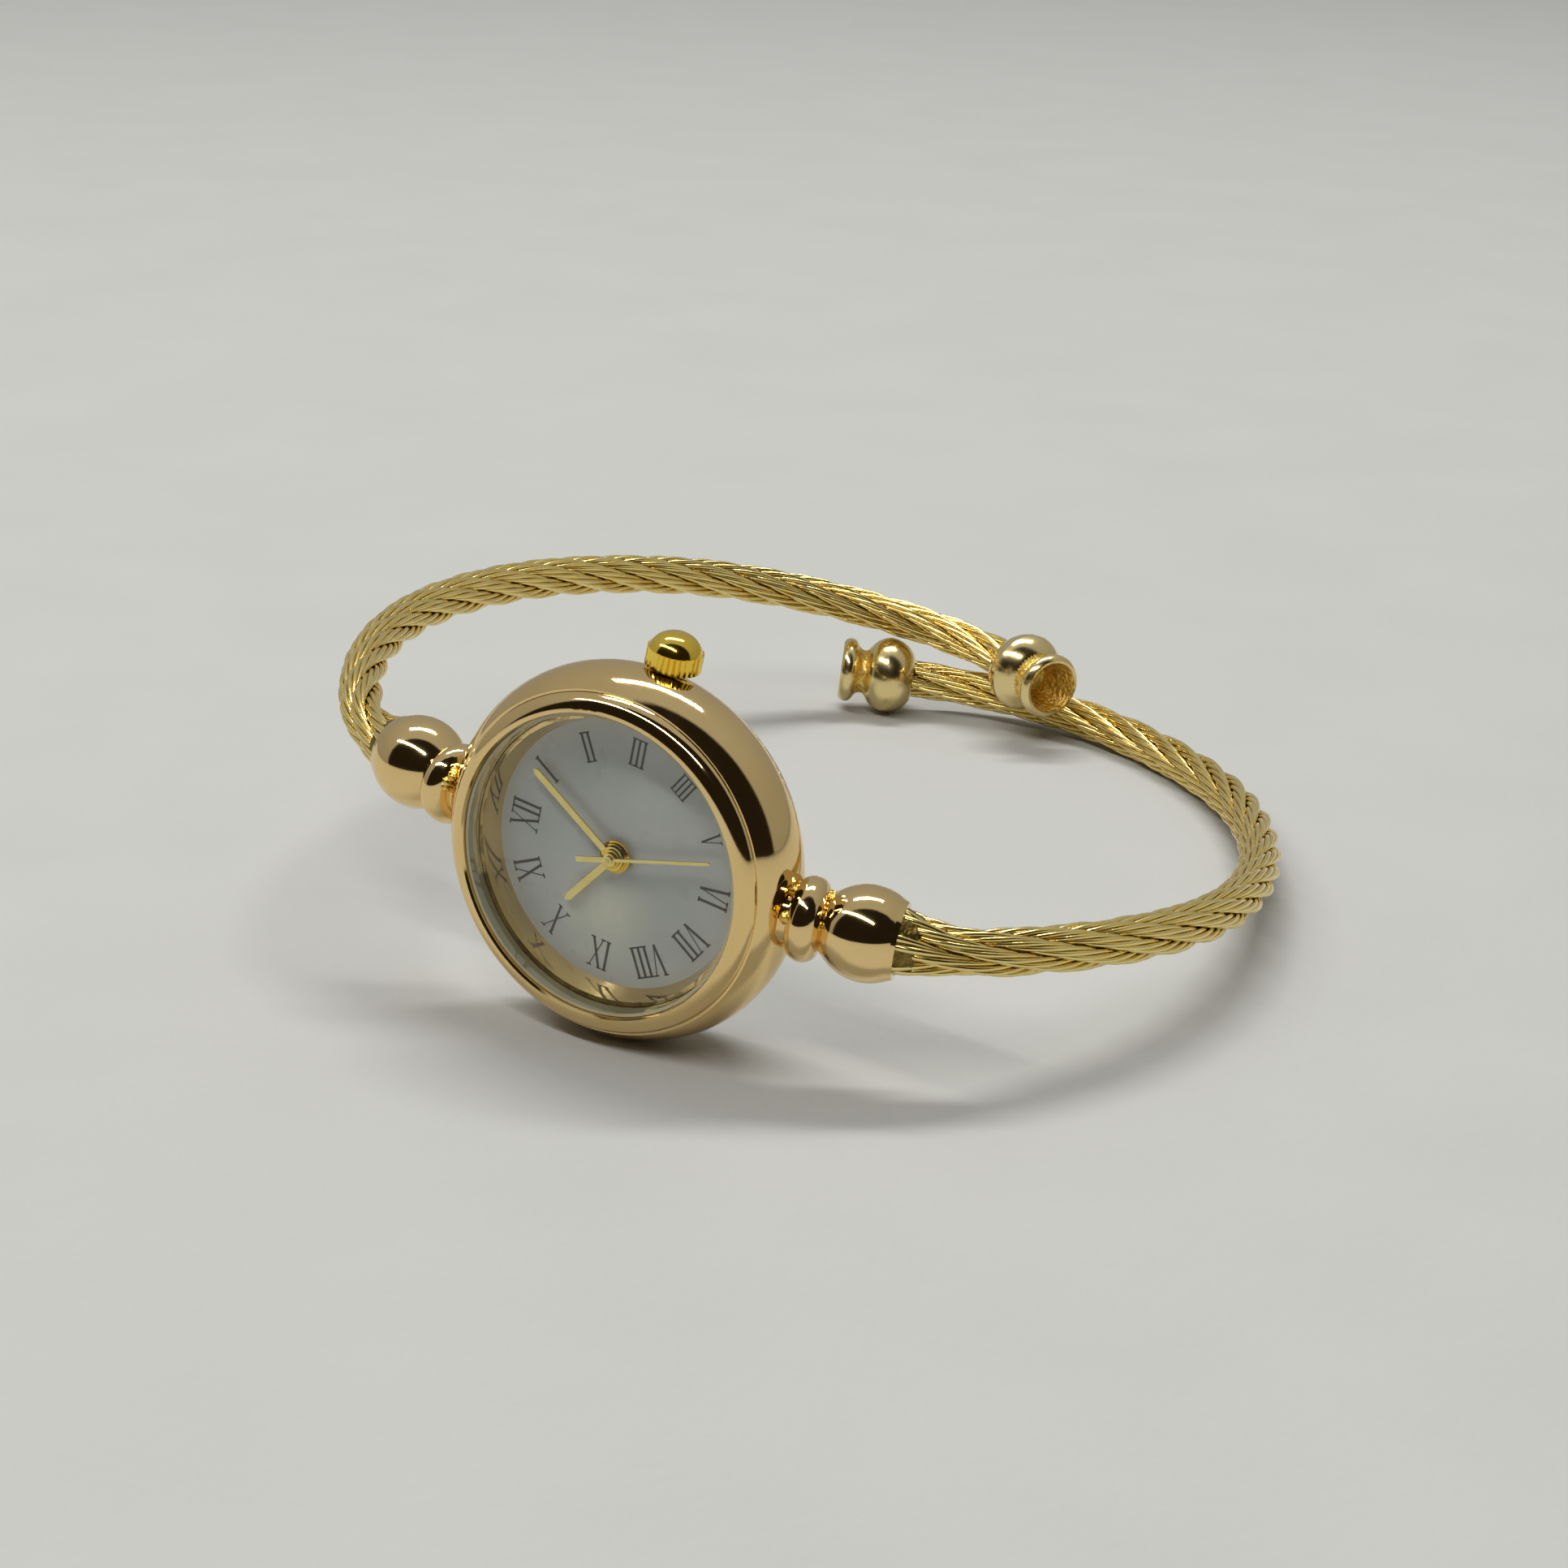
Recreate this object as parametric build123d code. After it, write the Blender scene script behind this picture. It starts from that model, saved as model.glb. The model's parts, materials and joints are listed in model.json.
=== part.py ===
from build123d import *
import math
import os

# A small gold bangle watch: a round quartz head between two formed wire-rope arms.
# Everything is drawn in the dial's frame, in millimetres: Z out of the dial, Y to 12 o'clock,
# X to 3 o'clock, and zero at the middle of the dial's face. It is then laid down on its side.

# Case: the movement's holder sets its bore, and its wall sets the rest
MOVEMENT_RADIUS = 8.60
HOLDER_WALL = 0.68
HOLDER_GAP = 0.07
CASE_WALL = 2.70
CASE_TOP_STEP = 1.07
CASE_BOTTOM_STEP = 1.05
CASE_FOOT_STEP = 0.35
CASE_TOP = 1.95
CASE_MIDDLE = -0.74
CASE_BAND_END = -3.40
CASE_BOTTOM = -3.70
BEZEL_SEAT = 1.40
BEZEL_SEAT_WALL = 0.70
FIT_GAP = 0.03

# Bezel, crystal and the ring between dial and crystal
BEZEL_STEP = 0.13
BEZEL_BULGE_STEP = 0.36
BEZEL_BULGE = 2.54
BEZEL_LIP_WALL = 1.11
BEZEL_LIP = 2.80
BEZEL_CHAMFER = 0.10
BEZEL_BORE_TOP = 2.64
CRYSTAL_THICKNESS = 1.10
CRYSTAL_CHAMFER = 0.06
GASKET_THICKNESS = 0.20
GASKET_GAP = 0.04
FLANGE_GAP = 0.05
FLANGE_TOP_WALL = 0.28
FLANGE_FOOT_WALL = 0.70
FLANGE_FOOT = 0.0

# Case back and its gasket
BACK_STEP = 0.15
BACK_THICKNESS = 0.85
BACK_ROUND = 0.25
BACK_WALL = 0.30
BACK_WALL_HEIGHT = 0.60
BACK_BORE_STEP = 0.50
BACK_BORE_DEPTH = 0.75
BACK_GASKET_WIDTH = 0.30
BACK_GASKET_THICKNESS = 0.22
OPENER_WIDTH = 2.4
OPENER_DEPTH = 0.35

# Radii that follow, from the movement outwards
HOLDER_RADIUS = MOVEMENT_RADIUS + HOLDER_WALL
CASE_BORE = HOLDER_RADIUS + HOLDER_GAP
CASE_RADIUS = CASE_BORE + CASE_WALL
CASE_TOP_RADIUS = CASE_RADIUS - CASE_TOP_STEP
CASE_BOTTOM_RADIUS = CASE_RADIUS - CASE_BOTTOM_STEP
CASE_FOOT_RADIUS = CASE_BOTTOM_RADIUS - CASE_FOOT_STEP
BEZEL_RADIUS = CASE_TOP_RADIUS - BEZEL_STEP
BEZEL_SEAT_RADIUS = CASE_TOP_RADIUS - BEZEL_SEAT_WALL
BEZEL_BULGE_RADIUS = BEZEL_RADIUS - BEZEL_BULGE_STEP
BEZEL_LIP_RADIUS = BEZEL_RADIUS - BEZEL_LIP_WALL
BEZEL_BORE = BEZEL_LIP_RADIUS - BEZEL_CHAMFER
CRYSTAL_RADIUS = BEZEL_BORE - GASKET_THICKNESS - GASKET_GAP
FLANGE_RADIUS = CASE_BORE - FLANGE_GAP
FLANGE_TOP_RADIUS = FLANGE_RADIUS - FLANGE_TOP_WALL
FLANGE_FOOT_RADIUS = FLANGE_RADIUS - FLANGE_FOOT_WALL
BACK_RADIUS = CASE_FOOT_RADIUS - BACK_STEP
BACK_BORE = CASE_BORE + BACK_BORE_STEP

# Dial and hands
DIAL_GAP = 0.15
DIAL_THICKNESS = 0.35
DIAL_HOLE = 0.75
DIAL_FOOT_RADIUS = 0.35
DIAL_FOOT_LENGTH = 0.90
DIAL_FOOT_INSET = 1.60
HAND_THICKNESS = 0.14
HOUR_HAND_LENGTH = 5.0
HOUR_HAND_WIDTH = 0.46
HOUR_HAND_HUB = 1.05
HOUR_HAND_HEIGHT = 0.34
MINUTE_HAND_LENGTH = 7.4
MINUTE_HAND_WIDTH = 0.42
MINUTE_HAND_HUB = 0.76
MINUTE_HAND_HEIGHT = 0.68
SECOND_HAND_LENGTH = 7.2
SECOND_HAND_TAIL = 2.4
SECOND_HAND_WIDTH = 0.20
SECOND_TAIL_WIDTH = 0.34
SECOND_HAND_HUB = 0.43
SECOND_HAND_HEIGHT = 1.00
HUB_RIM = 0.16
HAND_TIP_SHARE = 0.85
HOURS_SHOWN = 10.15
MINUTES_SHOWN = 4.8
SECONDS_SHOWN = 26.6

# Crown, stem and tube
STEM_DEPTH = -2.20
STEM_RADIUS = 0.45
STEM_INNER_END = 4.40
STEM_SQUARE = 0.52
STEM_SQUARE_END = 5.90
STEM_GROOVE_START = 6.15
STEM_GROOVE_END = 6.65
STEM_GROOVE_RADIUS = 0.24
CROWN_GAP = 0.05
CROWN_RADIUS = 1.74
CROWN_BAND = 1.15
CROWN_DOME = 1.00
CROWN_FLUTES = 30
CROWN_FLUTE_DEPTH = 0.09
CROWN_WELL_RADIUS = 1.22
CROWN_WELL_DEPTH = 1.05
TUBE_RADIUS = 0.90
TUBE_BORE = 0.52
TUBE_INSET = 0.10
TUBE_REACH = 0.90
CROWN_GASKET_INSET = 0.20
CROWN_GASKET_WIDTH = 0.38
STEM_THREAD = 0.60
CROWN_PULL = 0.60

# Lugs: a small bead and a large truncated bead in one turned piece, soldered to the case. The line
# through both lugs is clocked a little against the dial, as it was soldered.
LUG_SINK = 0.45
LUG_TILT = 16.0
LUG_CLOCK = 2.8
LUG_START_RADIUS = 1.70
LUG_START = 0.20
SMALL_BEAD_RADIUS = 2.65
SMALL_BEAD_PLACE = 1.25
WAIST_RADIUS = 1.70
WAIST_PLACE = 2.30
BIG_BEAD_SHOULDER_RADIUS = 2.90
BIG_BEAD_SHOULDER = 4.30
LUG_FACE = 7.00
LUG_RIM_RADIUS = 2.50
LUG_RIM_STEP = 0.12
LUG_RIM_WIDTH = 0.30
SOLDER_RADIUS = 2.05
SOLDER_LENGTH = 1.10
SOLDER_EDGE = 0.18
LUG_GRIP = 3.00

# Wire-rope arms: each bend has the radius of its centre line, the angle that it turns
# and the roll of its plane about the rope, all measured on from the lug's face.
ROPE_RADIUS = 1.50
BENDS_12 = ((11.93, 34.04, -0.29), (39.26, 36.74, -5.55), (47.95, 29.33, -2.52), (29.0, 42.73, 1.2),
            (10.44, 52.62, 7.3))
BENDS_6 = ((9.1, 39.59, -3.42), (35.73, 40.44, -7.84), (54.51, 26.18, 5.92), (35.43, 35.73, -2.02),
           (21.15, 47.8, -2.33))
CAP_ENTRY = 2.10
CAP_GRIP = 0.50
ROPE_FIT = 0.02

# End caps: a ball, a neck and a flared hollow end
BALL_RADIUS = 3.05
BALL_BACK_RADIUS = 1.75
BALL_BACK_BULGE = 2.80
BALL_FRONT_RADIUS = 1.90
BALL_FRONT = 1.60
BALL_FRONT_BULGE = 2.76
NECK_RADIUS = 1.72
NECK_PLACE = 1.95
FLARE_START = 2.35
FLARE_BACK_RADIUS = 2.20
FLARE_BACK = 2.55
FLARE_RADIUS = 2.55
FLARE_RIM = 3.10
CAP_END = 3.70
FLARE_FACE_RADIUS = 2.25
HOLLOW_RADIUS = 2.05
HOLLOW_BOTTOM_RADIUS = 1.00
HOLLOW_DEPTH = 2.60

# Movement: plates and holder
PLATE_THICKNESS = 1.00
PLATE_RECESS_DEPTH = 0.62
PLATE_RECESS_RADIUS = 4.55
BRIDGE_TOP = -3.00
BRIDGE_THICKNESS = 0.35
STEM_BLOCK_LENGTH = 0.80
STEM_BLOCK_INSET = 0.30
STEM_BLOCK_WIDTH = 2.00
STEM_BLOCK_BOTTOM = -2.90
PILLAR_RADIUS = 0.60
SCREW_3_DISTANCE = 7.3
SCREW_3_BEARING = 38.0
SCREW_4_DISTANCE = 6.3
SCREW_4_BEARING = -28.0
SCREW_12_DISTANCE = 4.6
SCREW_12_BEARING = 112.0
SCREW_HEAD_RADIUS = 0.55
SCREW_HEAD_HEIGHT = 0.22
SCREW_RADIUS = 0.28
SCREW_LENGTH = 0.90
SCREW_SLOT = 0.14
SCREW_SLOT_DEPTH = 0.10
BORE_GAP = 0.04

# Movement: battery, coil, stator, board and quartz
BATTERY_RADIUS = 2.90
BATTERY_THICKNESS = 2.10
BATTERY_EDGE = 0.45
BATTERY_TOP = -1.15
BATTERY_RIM = 0.30
BATTERY_STEP = 0.35
POCKET_GAP = 0.15
CLAMP_WIDTH = 1.60
CLAMP_THICKNESS = 0.15
COIL_LENGTH = 6.80
COIL_RADIUS = 0.82
COIL_FLANGE_RADIUS = 0.98
COIL_FLANGE = 0.30
COIL_X = -0.30
COIL_Y = -6.20
COIL_DEPTH = -2.60
CORE_WIDTH = 0.70
STATOR_THICKNESS = 0.30
STATOR_RING_RADIUS = 1.55
STATOR_BORE = 0.95
STATOR_ARM = 0.75
STATOR_ARM_Y = -4.55
STATOR_POST_RADIUS = 0.32
BOARD_THICKNESS = 0.20
BOARD_INNER_Y = 5.25
BOARD_INSET = 0.30
CHIP_SIZE = 1.60
CHIP_HEIGHT = 0.45
CHIP_X = -2.60
CHIP_Y = 6.10
QUARTZ_RADIUS = 0.60
QUARTZ_LENGTH = 4.20
QUARTZ_X = 1.40
QUARTZ_Y = 6.10

# Gear train: one-step motor, seconds at the centre, and the motion work under the dial
LEAVES = 8
CENTRE_TEETH = 60
THIRD_TEETH = 64
FOURTH_TEETH = 48
FIFTH_TEETH = 40
CANNON_TEETH = 12
MINUTE_WHEEL_TEETH = 36
MINUTE_PINION_TEETH = 10
HOUR_WHEEL_TEETH = 40
CENTRE_MODULE = 0.073
MOTOR_MODULE = 0.090
CANNON_MODULE = 0.100
THIRD_BEARING = 60.0
FIFTH_BEARING = -60.0
ROTOR_BEARING = -22.0
MINUTE_WHEEL_BEARING = 8.0
WHEEL_THICKNESS = 0.20
PINION_OVERHANG = 0.10
CENTRE_WHEEL_DEPTH = -1.50
THIRD_WHEEL_DEPTH = -2.02
FOURTH_WHEEL_DEPTH = -2.55
FIFTH_WHEEL_DEPTH = -1.95
MOTION_DEPTH = -0.58
ARBOR_RADIUS = 0.13
MOTION_POST_RADIUS = 0.26
PIVOT_RADIUS = 0.10
CANNON_RADIUS = 0.32
PIPE_RADIUS = 0.58
PIVOT_LENGTH = 0.25
ROTOR_RADIUS = 0.72
ROTOR_MAGNET = 0.50
ADDENDUM_SHARE = 0.85
DEDENDUM_SHARE = 1.15
TIP_SHARE = 0.17
ROOT_SHARE = 0.46

# Setting lever
LEVER_PIVOT_Y = 3.40
LEVER_PIN_Y = 0.42
LEVER_PIN_RADIUS = 0.13
LEVER_THICKNESS = 0.22
LEVER_WIDTH = 0.70
LEVER_TOP = -1.42
LEVER_POST_RADIUS = 0.28
LEVER_POST_HEAD = 0.12
CLUTCH_RADIUS = 0.72
CLUTCH_START = 4.55
CLUTCH_LENGTH = 1.05
CLUTCH_TEETH = 12
CLUTCH_HUB_RADIUS = 0.50

# Resting attitude: the head leans back and rolls towards 6 o'clock until it, one end cap
# and one rope touch the table
REST_ROLL = 8.07
REST_LEAN = 0.88

OVERRUN = 1.0

# Places and heights that follow from the sizes above
DIAL_RADIUS = CASE_BORE - DIAL_GAP
DIAL_FOOT_PLACE = DIAL_RADIUS - DIAL_FOOT_INSET
DIAL_BACK = -DIAL_THICKNESS
CROWN_UNDERSIDE = CASE_RADIUS + CROWN_GAP
CROWN_GASKET_PLACE = CROWN_UNDERSIDE + CROWN_GASKET_INSET
TUBE_INNER_END = CASE_BORE + TUBE_INSET
TUBE_OUTER_END = CROWN_UNDERSIDE + TUBE_REACH
LUG_ROOT = CASE_RADIUS - LUG_SINK
STEM_BLOCK_END = MOVEMENT_RADIUS - STEM_BLOCK_INSET
STEM_BLOCK_START = STEM_BLOCK_END - STEM_BLOCK_LENGTH
BATTERY_PLACE = BATTERY_RADIUS + BATTERY_EDGE - MOVEMENT_RADIUS
BOARD_RADIUS = MOVEMENT_RADIUS - BOARD_INSET
PLATE_BOTTOM = DIAL_BACK - PLATE_THICKNESS
BOARD_TOP = PLATE_BOTTOM
CRYSTAL_TOP = BEZEL_SEAT + CRYSTAL_THICKNESS
CROWN_BAND_END = CROWN_UNDERSIDE + CROWN_BAND
LEVER_PIVOT_X = (STEM_GROOVE_START + STEM_GROOVE_END + CROWN_PULL) / 2
THIRD_DISTANCE = CENTRE_MODULE * (CENTRE_TEETH + LEAVES) / 2
THIRD_MODULE = 2 * THIRD_DISTANCE / (THIRD_TEETH + LEAVES)
FIFTH_DISTANCE = MOTOR_MODULE * (FOURTH_TEETH + LEAVES) / 2
ROTOR_DISTANCE = MOTOR_MODULE * (FIFTH_TEETH + LEAVES) / 2
MINUTE_WHEEL_DISTANCE = CANNON_MODULE * (CANNON_TEETH + MINUTE_WHEEL_TEETH) / 2
HOUR_MODULE = 2 * MINUTE_WHEEL_DISTANCE / (MINUTE_PINION_TEETH + HOUR_WHEEL_TEETH)


def polar(distance, bearing):
    """A point in the dial's plane."""
    angle = math.radians(bearing)
    return distance * math.cos(angle), distance * math.sin(angle)


THIRD_PLACE = polar(THIRD_DISTANCE, THIRD_BEARING)
FIFTH_PLACE = polar(FIFTH_DISTANCE, FIFTH_BEARING)
ROTOR_STEP = polar(ROTOR_DISTANCE, ROTOR_BEARING)
ROTOR_PLACE = (FIFTH_PLACE[0] + ROTOR_STEP[0], FIFTH_PLACE[1] + ROTOR_STEP[1])
MINUTE_WHEEL_PLACE = polar(MINUTE_WHEEL_DISTANCE, MINUTE_WHEEL_BEARING)
SCREW_PLACES = (polar(SCREW_3_DISTANCE, SCREW_3_BEARING), polar(SCREW_4_DISTANCE, SCREW_4_BEARING),
                polar(SCREW_12_DISTANCE, SCREW_12_BEARING))


def turned(*edges):
    """A solid of revolution about Z from an outline in radius and height."""
    return revolve(Plane.XZ * make_face(Curve() + list(edges)), Axis.Z)


def outline(*points):
    """A closed outline of straight lines."""
    return Polyline(*points, close=True)


def ring(inner, outer, bottom, top):
    return turned(outline((inner, bottom), (outer, bottom), (outer, top), (inner, top)))


def disc(radius, bottom, top, place=(0, 0)):
    height = top - bottom
    return Pos(place[0], place[1], bottom + height / 2) * Cylinder(radius, height)


def rod(radius, start, end, depth=STEM_DEPTH):
    """A round bar along X at the stem's height."""
    length = end - start
    return Pos(start + length / 2, 0, depth) * Rot(0, 90, 0) * Cylinder(radius, length)


def block(low, high):
    """A box between two corners."""
    size = [b - a for a, b in zip(low, high)]
    middle = [(a + b) / 2 for a, b in zip(low, high)]
    return Pos(*middle) * Box(*size)


def gear(teeth, module, bottom, top, phase, place=(0, 0)):
    """A toothed disc whose tooth number nought points along the phase, in degrees."""
    pitch_radius = module * teeth / 2
    tip = pitch_radius + ADDENDUM_SHARE * module
    root = pitch_radius - DEDENDUM_SHARE * module
    step = 360 / teeth
    points = []
    for tooth in range(teeth):
        middle = phase + tooth * step
        points.append(polar(root, middle - ROOT_SHARE * step / 2))
        points.append(polar(tip, middle - TIP_SHARE * step / 2))
        points.append(polar(tip, middle + TIP_SHARE * step / 2))
        points.append(polar(root, middle + ROOT_SHARE * step / 2))
    face = make_face(Polyline(*points, close=True))
    return Pos(place[0], place[1], bottom) * extrude(face, top - bottom)


# Case parts

def case_envelope():
    """The case's outside as a solid, which the lugs are cut to sit on."""
    band = ThreePointArc((CASE_TOP_RADIUS, CASE_TOP), (CASE_RADIUS, CASE_MIDDLE),
                         (CASE_BOTTOM_RADIUS, CASE_BAND_END))
    rest = Polyline((CASE_BOTTOM_RADIUS, CASE_BAND_END), (CASE_FOOT_RADIUS, CASE_BOTTOM), (0, CASE_BOTTOM),
                    (0, CASE_TOP), (CASE_TOP_RADIUS, CASE_TOP))
    return turned(band, rest)


def case_body():
    body = case_envelope()
    body -= disc(CASE_BORE, CASE_BOTTOM - OVERRUN, CASE_TOP + OVERRUN)
    body -= disc(BEZEL_SEAT_RADIUS, BEZEL_SEAT, CASE_TOP + OVERRUN)
    body -= disc(BACK_BORE, CASE_BOTTOM - OVERRUN, CASE_BOTTOM + BACK_BORE_DEPTH)
    gasket_outer = BACK_BORE + BACK_GASKET_WIDTH
    body -= disc(gasket_outer, CASE_BOTTOM - OVERRUN, CASE_BOTTOM + BACK_GASKET_THICKNESS)
    body -= rod(TUBE_RADIUS, CASE_BORE - OVERRUN, CASE_RADIUS + OVERRUN)
    return body


def bezel():
    bulge = ThreePointArc((BEZEL_RADIUS, CASE_TOP), (BEZEL_BULGE_RADIUS, BEZEL_BULGE),
                          (BEZEL_LIP_RADIUS, BEZEL_LIP))
    inside = Polyline((BEZEL_LIP_RADIUS, BEZEL_LIP), (BEZEL_BORE, BEZEL_BORE_TOP), (BEZEL_BORE, BEZEL_SEAT),
                      (BEZEL_SEAT_RADIUS - FIT_GAP, BEZEL_SEAT), (BEZEL_SEAT_RADIUS - FIT_GAP, CASE_TOP),
                      (BEZEL_RADIUS, CASE_TOP))
    return turned(bulge, inside)


def crystal():
    glass = disc(CRYSTAL_RADIUS, BEZEL_SEAT, CRYSTAL_TOP)
    rim = glass.edges().filter_by(GeomType.CIRCLE).group_by(Axis.Z)[-1]
    return chamfer(rim, CRYSTAL_CHAMFER)


def crystal_gasket():
    return ring(CRYSTAL_RADIUS + FIT_GAP / 2, CRYSTAL_RADIUS + FIT_GAP / 2 + GASKET_THICKNESS, BEZEL_SEAT,
                CRYSTAL_TOP - CRYSTAL_CHAMFER)


def dial_flange():
    return turned(outline((FLANGE_FOOT_RADIUS, FLANGE_FOOT), (FLANGE_RADIUS, FLANGE_FOOT),
                          (FLANGE_RADIUS, BEZEL_SEAT), (FLANGE_TOP_RADIUS, BEZEL_SEAT)))


def case_back():
    plate = disc(BACK_RADIUS, CASE_BOTTOM - BACK_THICKNESS, CASE_BOTTOM)
    outside = plate.edges().filter_by(GeomType.CIRCLE).group_by(Axis.Z)[0]
    plate = chamfer(outside, BACK_ROUND)
    wall_outer = BACK_BORE - FIT_GAP
    plate += ring(wall_outer - BACK_WALL, wall_outer, CASE_BOTTOM, CASE_BOTTOM + BACK_WALL_HEIGHT)
    notch = block((-OPENER_WIDTH / 2, BACK_RADIUS - OPENER_DEPTH, CASE_BOTTOM - BACK_ROUND),
                  (OPENER_WIDTH / 2, BACK_RADIUS + OVERRUN, CASE_BOTTOM + OVERRUN))
    return plate - notch


def back_gasket():
    return ring(BACK_BORE + FIT_GAP, BACK_BORE + BACK_GASKET_WIDTH - FIT_GAP, CASE_BOTTOM,
                CASE_BOTTOM + BACK_GASKET_THICKNESS - FIT_GAP)


# Dial and hands

def dial_foot_places():
    return [(0, DIAL_FOOT_PLACE), (0, -DIAL_FOOT_PLACE)]


def dial():
    plate = disc(DIAL_RADIUS, DIAL_BACK, 0) - disc(DIAL_HOLE, DIAL_BACK - OVERRUN, OVERRUN)
    for place in dial_foot_places():
        plate += disc(DIAL_FOOT_RADIUS, DIAL_BACK - DIAL_FOOT_LENGTH, DIAL_BACK, place)
    return plate


def hand(length, width, hub, height, bore, turns, tail=0.0, tail_width=0.0):
    """A baton with a bluntly pointed tip and a stepped boss, turned clockwise by a share of a whole turn."""
    half = width / 2
    tip = half * HAND_TIP_SHARE
    points = [(-half, 0), (half, 0), (half, length - width), (tip, length - half), (0, length),
              (-tip, length - half), (-half, length - width)]
    blade = extrude(make_face(Polyline(*points, close=True)), HAND_THICKNESS)
    if tail:
        blade += block((-tail_width / 2, -tail, 0), (tail_width / 2, 0, HAND_THICKNESS))
    piece = Pos(0, 0, height) * blade + disc(hub, height, height + HAND_THICKNESS)
    piece += disc(hub - HUB_RIM, height, height + 2 * HAND_THICKNESS)
    piece -= disc(bore, height - OVERRUN, height + OVERRUN)
    return Rot(0, 0, -360 * turns) * piece


def hour_hand():
    return hand(HOUR_HAND_LENGTH, HOUR_HAND_WIDTH, HOUR_HAND_HUB, HOUR_HAND_HEIGHT, PIPE_RADIUS + FIT_GAP / 2,
                HOURS_SHOWN / 12)


def minute_hand():
    return hand(MINUTE_HAND_LENGTH, MINUTE_HAND_WIDTH, MINUTE_HAND_HUB, MINUTE_HAND_HEIGHT,
                CANNON_RADIUS + FIT_GAP / 2, MINUTES_SHOWN / 60)


def second_hand():
    return hand(SECOND_HAND_LENGTH, SECOND_HAND_WIDTH, SECOND_HAND_HUB, SECOND_HAND_HEIGHT,
                ARBOR_RADIUS + FIT_GAP / 2, SECONDS_SHOWN / 60, SECOND_HAND_TAIL, SECOND_TAIL_WIDTH)


# Crown group, all on the stem's line

def crown():
    """A fluted, domed crown with a well that runs over the case's tube."""
    step = 360 / CROWN_FLUTES
    points = []
    for flute in range(CROWN_FLUTES):
        middle = flute * step
        points.append(polar(CROWN_RADIUS, middle - step / 4))
        points.append(polar(CROWN_RADIUS, middle + step / 4))
        points.append(polar(CROWN_RADIUS - CROWN_FLUTE_DEPTH, middle + step / 2))
    knob = extrude(make_face(Polyline(*points, close=True)), CROWN_BAND)
    cap_radius = CROWN_RADIUS - CROWN_FLUTE_DEPTH
    dome = revolve(Plane.XZ * make_face(Curve() + [
        Line((0, CROWN_BAND), (cap_radius, CROWN_BAND)),
        ThreePointArc((cap_radius, CROWN_BAND),
                      (cap_radius * math.cos(math.pi / 4), CROWN_BAND + CROWN_DOME * math.sin(math.pi / 4)),
                      (0, CROWN_BAND + CROWN_DOME)),
        Line((0, CROWN_BAND + CROWN_DOME), (0, CROWN_BAND))]), Axis.Z)
    knob += dome
    knob -= disc(CROWN_WELL_RADIUS, -OVERRUN, CROWN_WELL_DEPTH)
    knob -= disc(STEM_RADIUS, 0, CROWN_WELL_DEPTH + STEM_THREAD)
    return Pos(CROWN_UNDERSIDE, 0, STEM_DEPTH) * Rot(0, 90, 0) * knob


def winding_stem():
    stem = rod(STEM_RADIUS, STEM_SQUARE_END, CROWN_UNDERSIDE + CROWN_WELL_DEPTH + STEM_THREAD)
    stem -= rod(STEM_RADIUS + OVERRUN, STEM_GROOVE_START, STEM_GROOVE_END)
    stem += rod(STEM_GROOVE_RADIUS, STEM_GROOVE_START, STEM_GROOVE_END)
    half = STEM_SQUARE / 2
    stem += block((STEM_INNER_END, -half, STEM_DEPTH - half), (STEM_SQUARE_END, half, STEM_DEPTH + half))
    return stem


def crown_tube():
    return (rod(TUBE_RADIUS, TUBE_INNER_END, TUBE_OUTER_END)
            - rod(TUBE_BORE, TUBE_INNER_END - OVERRUN, TUBE_OUTER_END + OVERRUN))


def crown_gasket():
    return (rod(CROWN_WELL_RADIUS - FIT_GAP, CROWN_GASKET_PLACE, CROWN_GASKET_PLACE + CROWN_GASKET_WIDTH)
            - rod(TUBE_RADIUS + FIT_GAP, CROWN_GASKET_PLACE - OVERRUN,
                  CROWN_GASKET_PLACE + CROWN_GASKET_WIDTH + OVERRUN))


def clutch_pinion():
    toothed = gear(CLUTCH_TEETH, 2 * CLUTCH_RADIUS / (CLUTCH_TEETH + 2 * ADDENDUM_SHARE), 0, CLUTCH_LENGTH / 2, 0)
    hub = disc(CLUTCH_HUB_RADIUS, CLUTCH_LENGTH / 2, CLUTCH_LENGTH)
    hole = STEM_SQUARE + 2 * FIT_GAP
    pinion = toothed + hub - Pos(0, 0, CLUTCH_LENGTH / 2) * Box(hole, hole, CLUTCH_LENGTH + OVERRUN)
    return Pos(CLUTCH_START, 0, STEM_DEPTH) * Rot(0, 90, 0) * pinion


def setting_lever():
    pin_x = (STEM_GROOVE_START + STEM_GROOVE_END) / 2
    bottom = LEVER_TOP - LEVER_THICKNESS
    reach = LEVER_PIVOT_Y - LEVER_PIN_Y
    slant = math.degrees(math.atan2(LEVER_PIVOT_X - pin_x, reach))
    length = math.hypot(LEVER_PIVOT_X - pin_x, reach)
    bar = Pos(0, -length / 2, bottom + LEVER_THICKNESS / 2) * SlotOverall(length + LEVER_WIDTH, LEVER_WIDTH,
                                                                          rotation=90)
    plate = extrude(bar, LEVER_THICKNESS / 2, both=True)
    lever = Pos(LEVER_PIVOT_X, LEVER_PIVOT_Y, 0) * Rot(0, 0, -slant) * plate
    lever += disc(LEVER_PIN_RADIUS, STEM_DEPTH - LEVER_PIN_RADIUS, bottom, (pin_x, LEVER_PIN_Y))
    lever -= disc(LEVER_POST_RADIUS + FIT_GAP, bottom - OVERRUN, LEVER_TOP + OVERRUN,
                  (LEVER_PIVOT_X, LEVER_PIVOT_Y))
    return lever


# Lugs, ropes and end caps. side is 1 for the arm at 12 o'clock and -1 for the one at 6 o'clock.

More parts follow.
